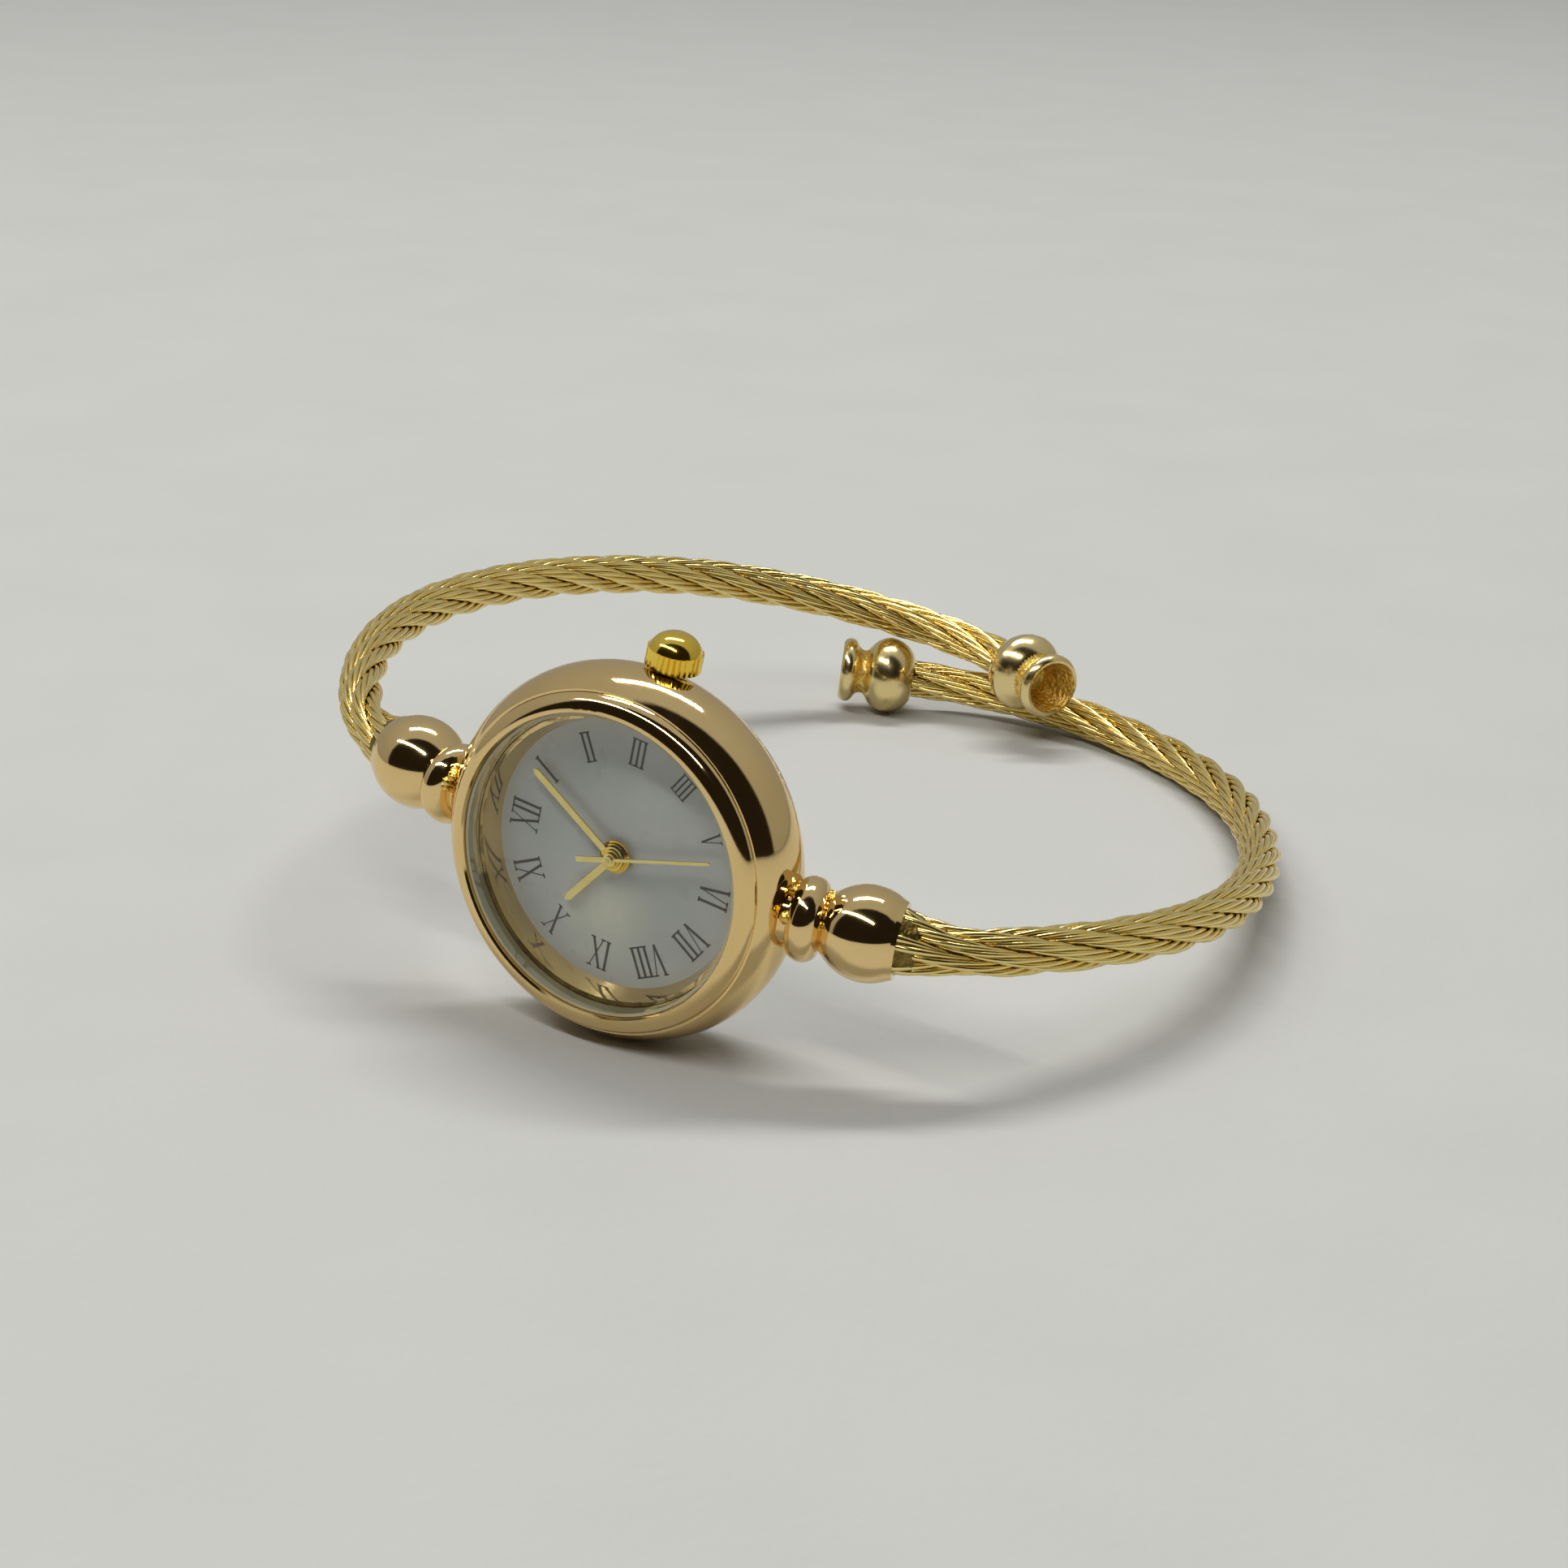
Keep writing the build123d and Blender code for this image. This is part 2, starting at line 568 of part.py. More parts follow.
def lug_direction(side):
    tilt = math.radians(LUG_TILT)
    return Vector(0, side * math.cos(tilt), -math.sin(tilt))


def lug_place(side):
    root = Vector(0, side * LUG_ROOT, CASE_MIDDLE)
    return Plane(origin=root, x_dir=(1, 0, 0), z_dir=lug_direction(side)).location


def lug(side):
    small = ThreePointArc((LUG_START_RADIUS, LUG_START), (SMALL_BEAD_RADIUS, SMALL_BEAD_PLACE),
                          (WAIST_RADIUS, WAIST_PLACE))
    big = ThreePointArc((WAIST_RADIUS, WAIST_PLACE), (BIG_BEAD_SHOULDER_RADIUS, BIG_BEAD_SHOULDER),
                        (LUG_RIM_RADIUS, LUG_FACE - LUG_RIM_WIDTH))
    tip = ROPE_RADIUS + SOLDER_EDGE
    end = Polyline((LUG_RIM_RADIUS, LUG_FACE - LUG_RIM_WIDTH), (LUG_RIM_RADIUS - LUG_RIM_STEP, LUG_FACE),
                   (SOLDER_RADIUS, LUG_FACE), (tip, LUG_FACE + SOLDER_LENGTH), (0, LUG_FACE + SOLDER_LENGTH),
                   (0, -LUG_RIM_WIDTH), (LUG_START_RADIUS, -LUG_RIM_WIDTH), (LUG_START_RADIUS, LUG_START))
    beads = turned(small, big, end)
    path, _, _ = rope_path(side)
    seated = lug_place(side) * beads - case_envelope() - swept(path[:2], ROPE_RADIUS + ROPE_FIT)
    return Rot(0, 0, LUG_CLOCK) * seated


def rope_bends(side):
    return BENDS_12 if side > 0 else BENDS_6


def rope_path(side):
    """The centre line from inside the lug to inside the end cap, with the direction at its end."""
    ahead = lug_direction(side)
    up = Vector(1, 0, 0)
    inward = ahead.cross(up) * side
    root = Vector(0, side * LUG_ROOT, CASE_MIDDLE)
    point = root + ahead * LUG_FACE
    path = [Line(root + ahead * (LUG_FACE - LUG_GRIP), point)]
    for radius, angle, roll in rope_bends(side):
        turn = math.radians(roll)
        inward, up = inward * math.cos(turn) + up * math.sin(turn), up * math.cos(turn) - inward * math.sin(turn)
        centre = point + inward * radius
        corners = []
        for share in (0.5, 1.0):
            part = math.radians(angle) * share
            corners.append(centre - inward * (radius * math.cos(part)) + ahead * (radius * math.sin(part)))
        path.append(ThreePointArc(point, corners[0], corners[1]))
        whole = math.radians(angle)
        point = corners[1]
        ahead, inward = (ahead * math.cos(whole) + inward * math.sin(whole),
                         inward * math.cos(whole) - ahead * math.sin(whole))
    end = point + ahead * (CAP_ENTRY + CAP_GRIP)
    path.append(Line(point, end))
    return path, point + ahead * CAP_ENTRY, ahead


def swept(pieces, radius):
    """A round bar along joined lines and arcs."""
    start = pieces[0]
    section = Plane(origin=start @ 0, z_dir=start % 0) * Circle(radius)
    return sweep(section, path=Wire([piece.edge() for piece in pieces]))


def rope(side):
    path, _, _ = rope_path(side)
    return Rot(0, 0, LUG_CLOCK) * swept(path, ROPE_RADIUS)


def end_cap(side):
    """A turned cap on the rope's end; its own zero is the ball's middle."""
    _, middle, ahead = rope_path(side)
    back = ThreePointArc((BALL_BACK_RADIUS, -CAP_ENTRY), (BALL_BACK_BULGE, -CAP_ENTRY / 2), (BALL_RADIUS, 0))
    front = ThreePointArc((BALL_RADIUS, 0), (BALL_FRONT_BULGE, BALL_FRONT / 2), (BALL_FRONT_RADIUS, BALL_FRONT))
    neck = ThreePointArc((BALL_FRONT_RADIUS, BALL_FRONT), (NECK_RADIUS, NECK_PLACE), (BALL_FRONT_RADIUS, FLARE_START))
    back_of_flare = Line((BALL_FRONT_RADIUS, FLARE_START), (FLARE_BACK_RADIUS, FLARE_BACK))
    flare = ThreePointArc((FLARE_BACK_RADIUS, FLARE_BACK), (FLARE_RADIUS, FLARE_RIM), (FLARE_FACE_RADIUS, CAP_END))
    rest = Polyline((FLARE_FACE_RADIUS, CAP_END),
                    (HOLLOW_RADIUS, CAP_END), (HOLLOW_BOTTOM_RADIUS, CAP_END - HOLLOW_DEPTH),
                    (0, CAP_END - HOLLOW_DEPTH), (0, -CAP_ENTRY), (BALL_BACK_RADIUS, -CAP_ENTRY))
    cap = turned(back, front, neck, back_of_flare, flare, rest)
    cap -= disc(ROPE_RADIUS + ROPE_FIT, -CAP_ENTRY - OVERRUN, CAP_GRIP)
    return Rot(0, 0, LUG_CLOCK) * Plane(origin=middle, z_dir=ahead).location * cap


# Movement: what stays still

def arbor_places():
    return [(0, 0), THIRD_PLACE, FIFTH_PLACE, ROTOR_PLACE]


def movement_holder():
    holder = ring(MOVEMENT_RADIUS + FIT_GAP, HOLDER_RADIUS, CASE_BOTTOM, DIAL_BACK)
    return holder - rod(STEM_RADIUS + POCKET_GAP, MOVEMENT_RADIUS - OVERRUN, HOLDER_RADIUS + OVERRUN)


def main_plate():
    plate = disc(MOVEMENT_RADIUS, PLATE_BOTTOM, DIAL_BACK)
    plate -= disc(PLATE_RECESS_RADIUS, DIAL_BACK - PLATE_RECESS_DEPTH, DIAL_BACK + OVERRUN)
    plate -= disc(BATTERY_RADIUS + POCKET_GAP, PLATE_BOTTOM - OVERRUN, BATTERY_TOP, (BATTERY_PLACE, 0))
    for place in dial_foot_places():
        plate -= disc(DIAL_FOOT_RADIUS + BORE_GAP, PLATE_BOTTOM - OVERRUN, DIAL_BACK + OVERRUN, place)
    plate -= disc(CANNON_RADIUS + BORE_GAP, PLATE_BOTTOM - OVERRUN, DIAL_BACK + OVERRUN)
    for place in arbor_places()[1:]:
        plate -= disc(PIVOT_RADIUS + BORE_GAP, PLATE_BOTTOM - OVERRUN, PLATE_BOTTOM + PIVOT_LENGTH + BORE_GAP, place)
    plate += disc(MOTION_POST_RADIUS, DIAL_BACK - PLATE_RECESS_DEPTH, MOTION_DEPTH + WHEEL_THICKNESS,
                  MINUTE_WHEEL_PLACE)
    plate += block((STEM_BLOCK_START, -STEM_BLOCK_WIDTH / 2, STEM_BLOCK_BOTTOM),
                   (STEM_BLOCK_END, STEM_BLOCK_WIDTH / 2, PLATE_BOTTOM))
    plate -= rod(STEM_RADIUS + BORE_GAP, STEM_BLOCK_START - OVERRUN, STEM_BLOCK_END + OVERRUN)
    plate += disc(LEVER_POST_RADIUS, LEVER_TOP - LEVER_THICKNESS - LEVER_POST_HEAD, PLATE_BOTTOM,
                  (LEVER_PIVOT_X, LEVER_PIVOT_Y))
    for place in stator_post_places():
        plate += disc(STATOR_POST_RADIUS, COIL_DEPTH + STATOR_THICKNESS / 2, PLATE_BOTTOM, place)
    for place in SCREW_PLACES:
        plate += disc(PILLAR_RADIUS, BRIDGE_TOP, PLATE_BOTTOM, place)
        plate -= disc(SCREW_RADIUS, BRIDGE_TOP - OVERRUN, BRIDGE_TOP + SCREW_LENGTH, place)
    return plate


def train_bridge():
    """The bridge over the train: a plate joining its screws and its pivots."""
    bottom = BRIDGE_TOP - BRIDGE_THICKNESS
    stops = list(SCREW_PLACES) + arbor_places()[1:]
    plate = disc(PILLAR_RADIUS, bottom, BRIDGE_TOP, (0, 0))
    for place in stops:
        plate += disc(PILLAR_RADIUS, bottom, BRIDGE_TOP, place)
        length = math.hypot(*place)
        bearing = math.degrees(math.atan2(place[1], place[0]))
        plate += Rot(0, 0, bearing) * block((0, -PILLAR_RADIUS, bottom), (length, PILLAR_RADIUS, BRIDGE_TOP))
    for place in arbor_places():
        plate -= disc(PIVOT_RADIUS + BORE_GAP, bottom - OVERRUN, BRIDGE_TOP + OVERRUN, place)
    for place in SCREW_PLACES:
        plate -= disc(SCREW_RADIUS + BORE_GAP, bottom - OVERRUN, BRIDGE_TOP + OVERRUN, place)
    return plate


def movement_screws():
    bottom = BRIDGE_TOP - BRIDGE_THICKNESS
    screws = []
    for place in SCREW_PLACES:
        screw = disc(SCREW_HEAD_RADIUS, bottom - SCREW_HEAD_HEIGHT, bottom, place)
        screw += disc(SCREW_RADIUS - FIT_GAP, bottom, BRIDGE_TOP + SCREW_LENGTH - FIT_GAP, place)
        slot = block((-SCREW_HEAD_RADIUS - OVERRUN, -SCREW_SLOT / 2, -OVERRUN),
                     (SCREW_HEAD_RADIUS + OVERRUN, SCREW_SLOT / 2, SCREW_SLOT_DEPTH))
        screws.append(screw - Pos(place[0], place[1], bottom - SCREW_HEAD_HEIGHT) * slot)
    return Compound(children=screws)


def battery():
    bottom = BATTERY_TOP - BATTERY_THICKNESS
    can = disc(BATTERY_RADIUS, bottom, BATTERY_TOP - BATTERY_STEP, (BATTERY_PLACE, 0))
    cap = disc(BATTERY_RADIUS - BATTERY_RIM, BATTERY_TOP - BATTERY_STEP, BATTERY_TOP, (BATTERY_PLACE, 0))
    return can + cap


def battery_clamp():
    top = BATTERY_TOP - BATTERY_THICKNESS
    reach = BATTERY_RADIUS + POCKET_GAP + CLAMP_WIDTH / 2
    strip = block((BATTERY_PLACE - CLAMP_WIDTH / 2, -reach, top - CLAMP_THICKNESS),
                  (BATTERY_PLACE + CLAMP_WIDTH / 2, reach, top))
    for end in (-1, 1):
        foot_y = end * (reach - CLAMP_WIDTH / 4)
        strip += block((BATTERY_PLACE - CLAMP_WIDTH / 2, foot_y - CLAMP_WIDTH / 4, top - CLAMP_THICKNESS),
                       (BATTERY_PLACE + CLAMP_WIDTH / 2, foot_y + CLAMP_WIDTH / 4, PLATE_BOTTOM))
    return strip


def coil():
    start = COIL_X - COIL_LENGTH / 2
    end = COIL_X + COIL_LENGTH / 2
    bobbin = rod(COIL_RADIUS, start, end, COIL_DEPTH)
    for edge in (start, end - COIL_FLANGE):
        bobbin += rod(COIL_FLANGE_RADIUS, edge, edge + COIL_FLANGE, COIL_DEPTH)
    half = CORE_WIDTH / 2 + FIT_GAP
    tall = STATOR_THICKNESS / 2 + FIT_GAP
    bobbin -= block((start - OVERRUN, -half, COIL_DEPTH - tall), (end + OVERRUN, half, COIL_DEPTH + tall))
    return Pos(0, COIL_Y, 0) * bobbin


def stator_ends():
    reach = COIL_LENGTH / 2 + STATOR_ARM + FIT_GAP
    return COIL_X - reach, COIL_X + reach


def stator_post_places():
    left, right = stator_ends()
    return [(left + STATOR_ARM / 2, STATOR_ARM_Y), (right - STATOR_ARM / 2, STATOR_ARM_Y)]


def stator():
    """A flat loop of soft iron: a ring round the rotor, two arms and the coil's core."""
    low = COIL_DEPTH - STATOR_THICKNESS / 2
    high = COIL_DEPTH + STATOR_THICKNESS / 2
    left, right = stator_ends()
    loop = disc(STATOR_RING_RADIUS, low, high, ROTOR_PLACE)
    loop += block((left, STATOR_ARM_Y - STATOR_ARM / 2, low), (right, STATOR_ARM_Y + STATOR_ARM / 2, high))
    loop += block((left, COIL_Y - CORE_WIDTH / 2, low), (left + STATOR_ARM, STATOR_ARM_Y, high))
    loop += block((right - STATOR_ARM, COIL_Y - CORE_WIDTH / 2, low), (right, STATOR_ARM_Y, high))
    loop += block((left, COIL_Y - CORE_WIDTH / 2, low), (right, COIL_Y + CORE_WIDTH / 2, high))
    return loop - disc(STATOR_BORE, low - OVERRUN, high + OVERRUN, ROTOR_PLACE)


def circuit_board():
    segment = disc(BOARD_RADIUS, BOARD_TOP - BOARD_THICKNESS, BOARD_TOP)
    wide = BOARD_RADIUS + OVERRUN
    segment -= block((-wide, -wide, BOARD_TOP - OVERRUN), (wide, BOARD_INNER_Y, BOARD_TOP + OVERRUN))
    half = CHIP_SIZE / 2
    bottom = BOARD_TOP - BOARD_THICKNESS
    return segment + block((CHIP_X - half, CHIP_Y - half, bottom - CHIP_HEIGHT), (CHIP_X + half, CHIP_Y + half, bottom))


def quartz_can():
    depth = BOARD_TOP - BOARD_THICKNESS - QUARTZ_RADIUS
    return Pos(0, QUARTZ_Y, 0) * rod(QUARTZ_RADIUS, QUARTZ_X - QUARTZ_LENGTH / 2, QUARTZ_X + QUARTZ_LENGTH / 2, depth)


# Movement: the wheels. Each mesh has a tooth of one wheel in a gap of the other along their line.

def arbor(place, radius=ARBOR_RADIUS):
    """An arbor between the main plate and the bridge, with a pivot at each end."""
    shaft = disc(radius, BRIDGE_TOP + BORE_GAP, PLATE_BOTTOM - BORE_GAP, place)
    return shaft + disc(PIVOT_RADIUS, BRIDGE_TOP - PIVOT_LENGTH, PLATE_BOTTOM + PIVOT_LENGTH, place)


def fourth_wheel():
    """The seconds wheel at the centre; its arbor runs up through the cannon to the hand."""
    wheel = gear(FOURTH_TEETH, MOTOR_MODULE, FOURTH_WHEEL_DEPTH - WHEEL_THICKNESS, FOURTH_WHEEL_DEPTH, FIFTH_BEARING)
    pinion_low = THIRD_WHEEL_DEPTH - WHEEL_THICKNESS - PINION_OVERHANG
    wheel += gear(LEAVES, THIRD_MODULE, pinion_low, THIRD_WHEEL_DEPTH + PINION_OVERHANG, THIRD_BEARING)
    wheel += disc(ARBOR_RADIUS, BRIDGE_TOP + BORE_GAP, SECOND_HAND_HEIGHT + 2 * HAND_THICKNESS)
    return wheel + disc(PIVOT_RADIUS, BRIDGE_TOP - PIVOT_LENGTH, BRIDGE_TOP + BORE_GAP)


def third_wheel():
    wheel = gear(THIRD_TEETH, THIRD_MODULE, THIRD_WHEEL_DEPTH - WHEEL_THICKNESS, THIRD_WHEEL_DEPTH,
                 THIRD_BEARING + 180 + 180 / THIRD_TEETH, THIRD_PLACE)
    pinion_low = CENTRE_WHEEL_DEPTH - WHEEL_THICKNESS - PINION_OVERHANG
    wheel += gear(LEAVES, CENTRE_MODULE, pinion_low, CENTRE_WHEEL_DEPTH + PINION_OVERHANG,
                  THIRD_BEARING + 180, THIRD_PLACE)
    return wheel + arbor(THIRD_PLACE)


def centre_wheel():
    """The minute wheel of the train, with the cannon that carries the minute hand."""
    wheel = gear(CENTRE_TEETH, CENTRE_MODULE, CENTRE_WHEEL_DEPTH - WHEEL_THICKNESS, CENTRE_WHEEL_DEPTH,
                 THIRD_BEARING + 180 / CENTRE_TEETH)
    wheel += disc(CANNON_RADIUS, CENTRE_WHEEL_DEPTH - WHEEL_THICKNESS, MINUTE_HAND_HEIGHT + HAND_THICKNESS)
    wheel += gear(CANNON_TEETH, CANNON_MODULE, MOTION_DEPTH - WHEEL_THICKNESS - PINION_OVERHANG,
                  MOTION_DEPTH - WHEEL_THICKNESS / 2, MINUTE_WHEEL_BEARING)
    return wheel - disc(ARBOR_RADIUS + BORE_GAP, CENTRE_WHEEL_DEPTH - OVERRUN, MINUTE_HAND_HEIGHT + OVERRUN)


def minute_wheel():
    """The intermediate wheel of the motion work, on a post of the main plate."""
    low = MOTION_DEPTH - WHEEL_THICKNESS - PINION_OVERHANG
    wheel = gear(MINUTE_WHEEL_TEETH, CANNON_MODULE, low, low + WHEEL_THICKNESS,
                 MINUTE_WHEEL_BEARING + 180 + 180 / MINUTE_WHEEL_TEETH, MINUTE_WHEEL_PLACE)
    wheel += gear(MINUTE_PINION_TEETH, HOUR_MODULE, low, MOTION_DEPTH + WHEEL_THICKNESS,
                  MINUTE_WHEEL_BEARING + 180, MINUTE_WHEEL_PLACE)
    return wheel - disc(MOTION_POST_RADIUS + BORE_GAP, low - OVERRUN, DIAL_BACK + OVERRUN, MINUTE_WHEEL_PLACE)


def hour_wheel():
    low = MOTION_DEPTH
    wheel = gear(HOUR_WHEEL_TEETH, HOUR_MODULE, low, low + WHEEL_THICKNESS / 2,
                 MINUTE_WHEEL_BEARING + 180 / HOUR_WHEEL_TEETH)
    wheel += disc(PIPE_RADIUS, low, HOUR_HAND_HEIGHT + HAND_THICKNESS)
    return wheel - disc(CANNON_RADIUS + BORE_GAP, low - OVERRUN, HOUR_HAND_HEIGHT + OVERRUN)


def fifth_wheel():
    wheel = gear(FIFTH_TEETH, MOTOR_MODULE, FIFTH_WHEEL_DEPTH - WHEEL_THICKNESS, FIFTH_WHEEL_DEPTH,
                 ROTOR_BEARING, FIFTH_PLACE)
    pinion_low = FOURTH_WHEEL_DEPTH - WHEEL_THICKNESS - PINION_OVERHANG
    wheel += gear(LEAVES, MOTOR_MODULE, pinion_low, FOURTH_WHEEL_DEPTH + PINION_OVERHANG,
                  FIFTH_BEARING + 180 + 180 / LEAVES, FIFTH_PLACE)
    return wheel + arbor(FIFTH_PLACE)


def rotor():
    magnet_low = COIL_DEPTH - ROTOR_MAGNET / 2
    spin = disc(ROTOR_RADIUS, magnet_low, magnet_low + ROTOR_MAGNET, ROTOR_PLACE)
    pinion_low = FIFTH_WHEEL_DEPTH - WHEEL_THICKNESS - PINION_OVERHANG
    spin += gear(LEAVES, MOTOR_MODULE, pinion_low, FIFTH_WHEEL_DEPTH + PINION_OVERHANG,
                 ROTOR_BEARING + 180 + 180 / LEAVES, ROTOR_PLACE)
    return spin + arbor(ROTOR_PLACE)


def parts():
    """Every node by name, in the dial's frame."""
    return {
        "case_body": case_body(),
        "bezel": bezel(),
        "crystal": crystal(),
        "crystal_gasket": crystal_gasket(),
        "dial_flange": dial_flange(),
        "case_back": case_back(),
        "back_gasket": back_gasket(),
        "dial": dial(),
        "hour_hand": hour_hand(),
        "minute_hand": minute_hand(),
        "second_hand": second_hand(),
        "crown": crown(),
        "winding_stem": winding_stem(),
        "crown_tube": crown_tube(),
        "crown_gasket": crown_gasket(),
        "clutch_pinion": clutch_pinion(),
        "setting_lever": setting_lever(),
        "lug_12": lug(1),
        "lug_6": lug(-1),
        "rope_12": rope(1),
        "rope_6": rope(-1),
        "end_cap_12": end_cap(1),
        "end_cap_6": end_cap(-1),
        "movement_holder": movement_holder(),
        "main_plate": main_plate(),
        "train_bridge": train_bridge(),
        "movement_screws": movement_screws(),
        "battery": battery(),
        "battery_clamp": battery_clamp(),
        "coil": coil(),
        "stator": stator(),
        "circuit_board": circuit_board(),
        "quartz_can": quartz_can(),
        "rotor": rotor(),
        "fifth_wheel": fifth_wheel(),
        "fourth_wheel": fourth_wheel(),
        "third_wheel": third_wheel(),
        "centre_wheel": centre_wheel(),
        "minute_wheel": minute_wheel(),
        "hour_wheel": hour_wheel(),
    }


def resting():
    """From the dial's frame to the watch lying on its 9 o'clock side, crown up, dial to the front."""
    on_side = Plane(origin=(0, 0, 0), x_dir=(0, 0, 1), z_dir=(0, -1, 0)).location
    return Rot(-REST_LEAN, 0, 0) * Rot(0, REST_ROLL, 0) * on_side * Rot(0, 0, -LUG_CLOCK)


def laid_down():
    """Every node in its resting place: the table is Z zero, under the middle of the whole watch."""
    laid = {name: resting() * shape for name, shape in parts().items()}
    boxes = [shape.bounding_box() for shape in laid.values()]
    low = [min(tuple(box.min)[i] for box in boxes) for i in range(3)]
    high = [max(tuple(box.max)[i] for box in boxes) for i in range(3)]
    shift = Pos(-(low[0] + high[0]) / 2, -(low[1] + high[1]) / 2, -low[2])
    return {name: shift * shape for name, shape in laid.items()}, shift * resting()


os.makedirs("parts", exist_ok=True)
NODES, PLACE = laid_down()
for node, shape in NODES.items():
    export_step(shape, f"parts/{node}.step")
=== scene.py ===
import json
import math
import random

import bpy
from mathutils import Matrix, Vector


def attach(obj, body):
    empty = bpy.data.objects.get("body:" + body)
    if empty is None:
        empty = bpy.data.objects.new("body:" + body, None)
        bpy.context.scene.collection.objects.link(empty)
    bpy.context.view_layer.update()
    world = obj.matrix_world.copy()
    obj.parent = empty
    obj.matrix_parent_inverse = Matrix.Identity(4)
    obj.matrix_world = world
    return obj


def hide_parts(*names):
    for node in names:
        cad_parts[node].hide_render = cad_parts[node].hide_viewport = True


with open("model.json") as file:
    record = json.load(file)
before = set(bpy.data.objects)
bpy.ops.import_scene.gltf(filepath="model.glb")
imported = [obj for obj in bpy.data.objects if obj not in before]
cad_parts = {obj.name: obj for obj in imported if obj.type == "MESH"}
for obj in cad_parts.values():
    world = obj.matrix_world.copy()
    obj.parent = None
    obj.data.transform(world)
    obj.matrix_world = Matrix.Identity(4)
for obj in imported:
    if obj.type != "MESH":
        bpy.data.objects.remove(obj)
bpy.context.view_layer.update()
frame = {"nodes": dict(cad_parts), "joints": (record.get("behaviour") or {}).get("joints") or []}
MM = 0.001

# Places that come from the part: the dial's own frame and the lugs' frame
JOINTS = {joint["name"]: joint for joint in frame["joints"]}
DIAL_CENTRE = Vector(JOINTS["seconds_turn"]["pos_m"])
DIAL_OUT = -Vector(JOINTS["seconds_turn"]["axis"]).normalized()
TO_THREE = Vector(JOINTS["crown_pull"]["axis"]).normalized()
TO_TWELVE = DIAL_OUT.cross(TO_THREE)

LUG_CLOCK = 2.8
LUG_TILT = 16.0
LUG_ROOT = 11.60
LUG_FACE = 7.00
CASE_MIDDLE = -0.74
CAP_ENTRY = 2.10

# Bends of the two arms, as in the part: radius in mm, turn and roll in degrees
BENDS_12 = ((11.93, 34.04, -0.29), (39.26, 36.74, -5.55), (47.95, 29.33, -2.52),
            (29.0, 42.73, 1.2), (10.44, 52.62, 7.3))
BENDS_6 = ((9.1, 39.59, -3.42), (35.73, 40.44, -7.84), (54.51, 26.18, 5.92),
           (35.43, 35.73, -2.02), (21.15, 47.8, -2.33))

# Rope: six strands of six wires round a core, right-hand lay, wires laid the other way
STRANDS = 6
STRAND_WIRES = 6
STRAND_PITCH_RADIUS = 1.0
WIRE_PITCH_RADIUS = 0.333
WIRE_RADIUS = 0.166
ROPE_LAYS = {"rope_12": 25.0, "rope_6": 30.0}
WIRE_LAY = 8.5
WIRE_SIDES = 8
ROPE_STEP = 0.5
CORE_RADIUS = 0.62
CORE_SIDES = 12
TUBE_START = Vector((0.3, 0.2, 1.0))

# Where a rope leaves its lug, its strands spread and its wires look thicker
FLARE_LENGTH = 3.4
FLARE_POWER = 1.3
FLARE_PITCH = 0.385
FLARE_THICKEN = 0.60

# Parts of turned pieces with a finish of their own, by the distance along and across the axis.
# The lugs' cones get a near-black painted shade
FACE_MARGIN = 0.02
CONE_WIDE = 2.04
HOLLOW_START = 0.9
HOLLOW_WIDE = 2.04
HUB_START = -1.0
HOUR_HUB = 1.06
MINUTE_HUB = 0.70

# Grains of solder. Each heap: place along the lug, distance from its axis, count
SOLDER_SEED = 7
SOLDER_SPOTS = ((0.55, 2.05, 26), (2.30, 1.85, 20))
LUMP_LOW = 0.20
LUMP_HIGH = 0.42
LUMP_SPREAD = 80.0
LUMP_RINGS = 5
LUMP_SIDES = 8
LUMP_ROUGH = (0.82, 1.15)

# Dial print
NUMERALS = ("XII", "I", "II", "III", "IIII", "V", "VI", "VII", "VIII", "IX", "X", "XI")
NUMERAL_MIDDLE = 6.90
NUMERAL_HEIGHT = 2.05
NUMERAL_SHARES = {"II": 0.94, "III": 0.88, "IIII": 0.72, "V": 0.70}
BAR_HEIGHT = 0.10
BAR_REACH = 0.17
THICK = 0.18
THIN = 0.075
LETTER_WIDTH = {"I": 0.33, "V": 0.90, "X": 0.90}
LETTER_GAP = 0.13
PRINT_HEIGHT = 0.015

# Mother-of-pearl: its tones, and the bright cloud's place and size in metres
PEARL_LIGHT = (0.645, 0.645, 0.65)
PEARL_DARK = (0.55, 0.555, 0.565)
PEARL_CLOUD = (0.80, 0.79, 0.67)
CLOUD_PLACE = (-0.00405, 0.0001, 0.0)
CLOUD_SIZE = 0.0024
PEARL_COAT = 0.3
PEARL_SCALE = 190.0
PEARL_GRAIN = 420.0
PEARL_ROUGH = (0.25, 0.4)

# Glass
GLASS_TINT = (0.97, 0.985, 0.975)
GLASS_INDEX = 1.45
GLASS_SHEEN = 0.35
GLASS_ROUGH = 0.02

# Surfaces: how noise is read and how deep the relief is, in metres
NOISE_LOW = 0.3
NOISE_HIGH = 0.7
GRAIN_FINER = 3.0
RELIEF_DEPTH = 0.0002

# Camera, fitted to the photo
CAMERA_PLACE = Vector((0.099509, -0.190241, 0.083862))
CAMERA_AHEAD = Vector((-0.45219, 0.82402, -0.34133)).normalized()
CAMERA_RIGHT = Vector((0.87265, 0.48787, 0.0217)).normalized()
CAMERA_UP = CAMERA_RIGHT.cross(CAMERA_AHEAD)
CAMERA_FLAT = Vector((-CAMERA_AHEAD.x, -CAMERA_AHEAD.y, 0)).normalized()
LENS = 74.37
SENSOR = 36.0
CLIP_NEAR = 0.005
CLIP_FAR = 20.0

